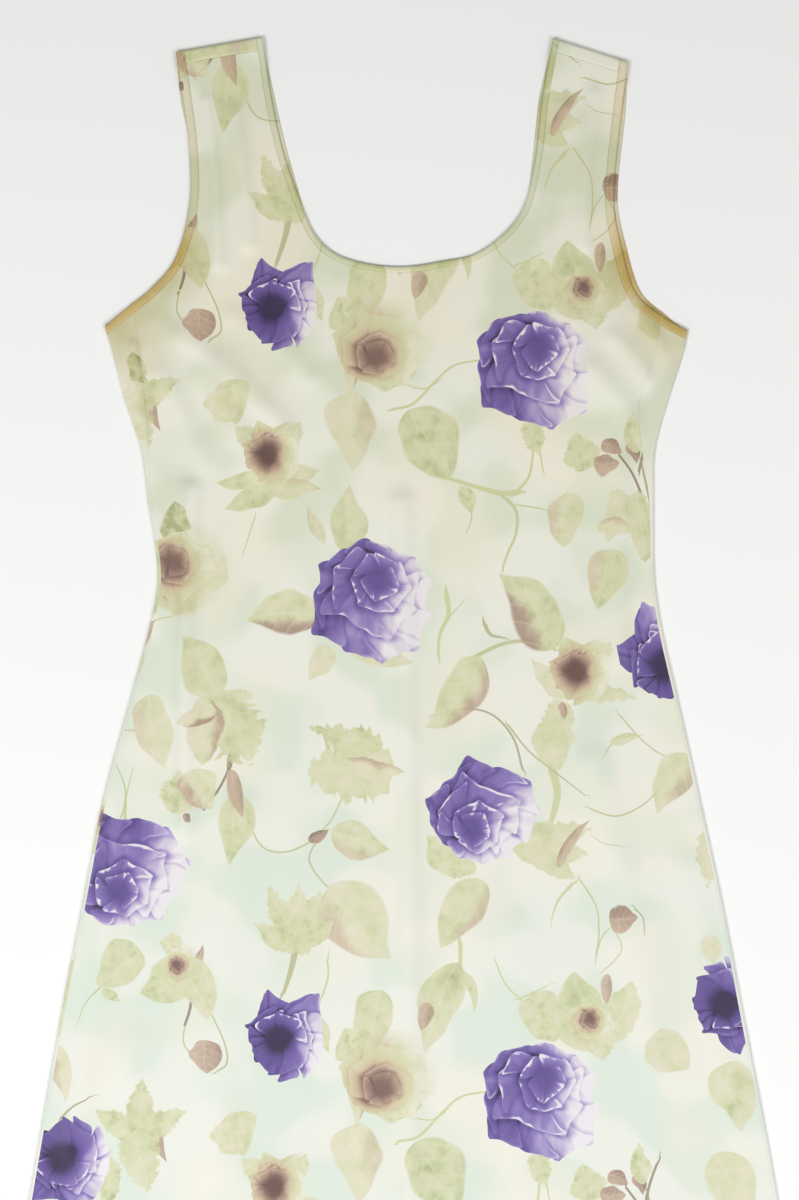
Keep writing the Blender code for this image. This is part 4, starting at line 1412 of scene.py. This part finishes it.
def bindingPiece(name, stretches, material):
    # a binding all round, from stretches of (face, side, free edge, sewn edge)
    laidRows, cutRows = [], []
    t = np.linspace(0, 1, grid["bindingColumns"] + 1)
    for face, side, free, sewn in stretches:
        laid, cut = layHalf(face, side, free[:, None] + (sewn - free)[:, None] * t[None, :, None])
        onTop = np.clip((laid[..., 2] - backLevel) / (frontLevel - backLevel), 0, 1)
        laid[..., 2] += binding["dome"] * np.sin(math.pi * t) * onTop
        laidRows.append(laid)
        cutRows.append(cut)
    sheets = [np.concatenate(rows + rows[:1])[: sum(map(len, rows)) + 1] for rows in (laidRows, cutRows)]
    piece = makePiece(name, [sheets], [material])
    finishCloth(piece, withRoses=False)
    return piece


def neckStretches():
    for face, (down, up) in ((front, (left, right)), (back, (right, left))):
        yield face, down, *(neckLine(down, face, inset)[:-1] for inset in (0, binding["neck"]))
        yield face, up, *(neckLine(up, face, inset)[:0:-1] for inset in (0, binding["neck"]))


def armholeStretches(side):
    for face, run in ((front, slice(None, -1)), (back, slice(None, 0, -1))):
        yield face, side, *(armholeLine(side, face, inset)[run] for inset in (0, binding["armhole"]))


print("cloth")
frontSheets = [layHalf(front, side, frontHalf(side)) for side in (left, right)]
frontCloth = makePiece("front_cloth", frontSheets, crepes)
finishCloth(frontCloth)
backSheets = [layHalf(back, side, half(side)) for half in (backHalf, backWrap) for side in (left, right)]
backCloth = makePiece("back_cloth", backSheets, crepes)
finishCloth(backCloth, backShift)

print("bindings")
neckBinding = bindingPiece("neck_binding", neckStretches(), neckCrepe)
sideWords = {left: "left", right: "right"}
armholeBindings = {
    side: bindingPiece("armhole_binding_" + word, armholeStretches(side), armholeCrepe)
    for side, word in sideWords.items()
}

print("stitches")
stitch = {
    "length": 0.0021,
    "pitch": 0.0030,
    "width": 0.00034,
    "height": 0.00022,
    "hemIn": 0.018,  # from the hem's edge
    "seamIn": 0.0012,  # from a binding's sewn edge, towards its free edge
    "centreGap": 0.0015,  # from the centre line to the first place of a hem's run
    "sideGap": 0.002,
    "hemSteps": 120,  # places worked out along half the hem
    "ahead": 0.0005,  # over what length a run's direction is measured
    "backSink": 0.0001,  # how much deeper those under the back lie in its cloth
    "slant": 0.14,  # how unevenly they lie
    "sink": 0.6,  # share of their height that lies in the cloth at their ends
    "wide": (0.35, 0.15),  # half their width and height, at their ends and what the middle adds
    "high": (0.3, 0.3),
    "rings": ((-0.5, 0.0), (-0.3, 0.8), (0.0, 1.0), (0.3, 0.8), (0.5, 0.0)),  # share along, and swelling
}


def addStitches(mesh, line, upward):
    # a run of small rounded bars along laid points, each pressed into the cloth at its ends
    lengths = lengthsAlong(line)

    def placeAt(length):
        return np.array([np.interp(length, lengths, line[:, axis]) for axis in range(3)])

    for index in range(int(lengths[-1] / stitch["pitch"])):
        middle = (index + 0.5) * stitch["pitch"]
        slant = stitch["slant"] * math.sin(2.4 * index + 0.7 * math.sin(0.37 * index))
        rings = []
        for along, swell in stitch["rings"]:
            at = middle + along * stitch["length"]
            place = placeAt(at)
            ahead = (placeAt(at + stitch["ahead"]) - place)[:2]
            way = ahead / max(np.linalg.norm(ahead), 1e-9)
            out = np.array([way[1], -way[0], 0])
            place = place + out * slant * along * stitch["length"]
            place[2] += upward * stitch["height"] * (swell - stitch["sink"])
            wide, high = (low + more * swell for low, more in (stitch["wide"], stitch["high"]))
            wide = out * stitch["width"] * wide
            high = np.array([0, 0, upward * stitch["height"] * high])
            rings.append([mesh.verts.new(place + corner) for corner in (-wide, high, wide, -high)])
        for before, after in zip(rings, rings[1:]):
            for corner in range(4):
                beyond = (corner + 1) % 4
                mesh.faces.new((before[corner], before[beyond], after[beyond], after[corner]))
        mesh.faces.new(rings[0][::-1])
        mesh.faces.new(rings[-1])


def makeStitches(name, runs):
    mesh = bmesh.new()
    for line, upward in runs:
        addStitches(mesh, line, upward)
    return linkMesh(name, mesh, [thread])


def onSurface(face, side, places):
    # laid places moved from the cloth's middle to its outer face, and on the back a little less far
    laid = lay(face, side, places)
    laid[:, 2] += cloth["wall"] / 2 if face == front else stitch["backSink"] - cloth["wall"] / 2
    return laid


def hemRun(face, side):
    last = sideStart(side, dressLength - cloth["hemRise"]) - stitch["sideGap"]
    half = np.linspace(stitch["centreGap"], float(last), stitch["hemSteps"])
    return onSurface(face, side, np.stack([half, hemLine(half) - stitch["hemIn"]], axis=1))


def bindingRun(lineOf, side, width):
    # along a binding, from below the shoulder seam to its lowest place on the front
    line = lineOf(side, front, width - stitch["seamIn"])[shoulderSeam + 1 : -turnHalf or None]
    laid = onSurface(front, side, line)
    laid[:, 2] += binding["dome"] * math.sin(math.pi * stitch["seamIn"] / width)
    return laid, 1


# twisted polyester with a soft shine
threadLook = {"roughness": 0.45, "scale": 700.0}
thread, threadShader = newMaterial("thread", threadLook["roughness"])
threadShade = noise(addNode(thread.node_tree, "TexCoord")["Object"], threadLook["scale"])
feed(threadShader["Base Color"], ramp(threadShade, palettes["thread"]))
hems = ((front, 1), (back, -1))
hemRuns = [(hemRun(face, side), upward) for face, upward in hems for side in (left, right)]
hemStitches = makeStitches("hem_stitches", hemRuns)
neckRuns = [bindingRun(neckLine, side, binding["neck"]) for side in (left, right)]
neckStitches = makeStitches("neck_stitches", neckRuns)
armholeStitches = {
    side: makeStitches("armhole_stitches_" + word, [bindingRun(armholeLine, side, binding["armhole"])])
    for side, word in sideWords.items()
}

# each piece with its slot, and the node it replaces if it does
pieces = (
    (hemStitches, "floral_cloth", None),
    (neckStitches, "neck_trim", None),
    (armholeStitches[left], "armhole_trim", None),
    (armholeStitches[right], "armhole_trim", None),
    (frontCloth, "floral_cloth", "front_panel"),
    (backCloth, "floral_cloth", "back_panel"),
    (neckBinding, "neck_trim", "neck_band"),
    (armholeBindings[left], "armhole_trim", "armhole_band_left"),
    (armholeBindings[right], "armhole_trim", "armhole_band_right"),
)
for piece, slotName, node in pieces:
    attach(piece, "root")
    if node:
        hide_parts(node)

print("stage")
stage = {"floorSize": 6.0, "gap": 0.0002, "roughness": 0.6, "shade": 243}
bpy.ops.mesh.primitive_plane_add(size=stage["floorSize"], location=(0, 0, cadBounds[0][2] - stage["gap"]))
floor = bpy.context.object
floor.name = "floor"
floorMaterial, floorShader = newMaterial("floor", stage["roughness"])
floorShader["Base Color"].default_value = paint(*[stage["shade"]] * 3)
floor.data.materials.append(floorMaterial)
floor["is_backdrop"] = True


def link(name, data, place):
    added = bpy.data.objects.new(name, data)
    added.location = place
    bpy.context.scene.collection.objects.link(added)
    return added


view = {"height": 0.9276, "centreDrop": 0.4352, "distance": 2.6, "sensor": 24.0}
cameraData = bpy.data.cameras.new("camera")
cameraData.sensor_fit = "VERTICAL"
cameraData.sensor_height = view["sensor"]
cameraData.lens = view["sensor"] * view["distance"] / view["height"]
camera = link("camera", cameraData, (0, topEdge - view["centreDrop"], view["distance"]))
bpy.context.scene.camera = camera

# name, place, size, power and colour
lights = (
    ("key", (-1.25, -0.8, 2.1), 1.1, 31.5, (1.0, 0.995, 0.985)),
    ("fill", (1.3, -0.9, 2.2), 1.8, 29, (0.985, 0.99, 1.0)),
)
for name, place, size, power, colour in lights:
    lightData = bpy.data.lights.new(name, "AREA")
    lightData.shape = "DISK"
    lightData.size = size
    lightData.energy = power
    lightData.color = colour
    light = link(name, lightData, place)
    light.rotation_euler = (-Vector(place)).to_track_quat("-Z", "Y").to_euler()
world = bpy.data.worlds.new("studio")
bpy.context.scene.world = world
world.use_nodes = True
studio = world.node_tree.nodes["Background"].inputs
sky = {"Color": (0.995, 1.0, 0.975, 1), "Strength": 0.40}
for name, value in sky.items():
    studio[name].default_value = value
bpy.context.scene.view_settings.view_transform = "Standard"

[[list(corner) for corner in box] for box in (cadBounds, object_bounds())]
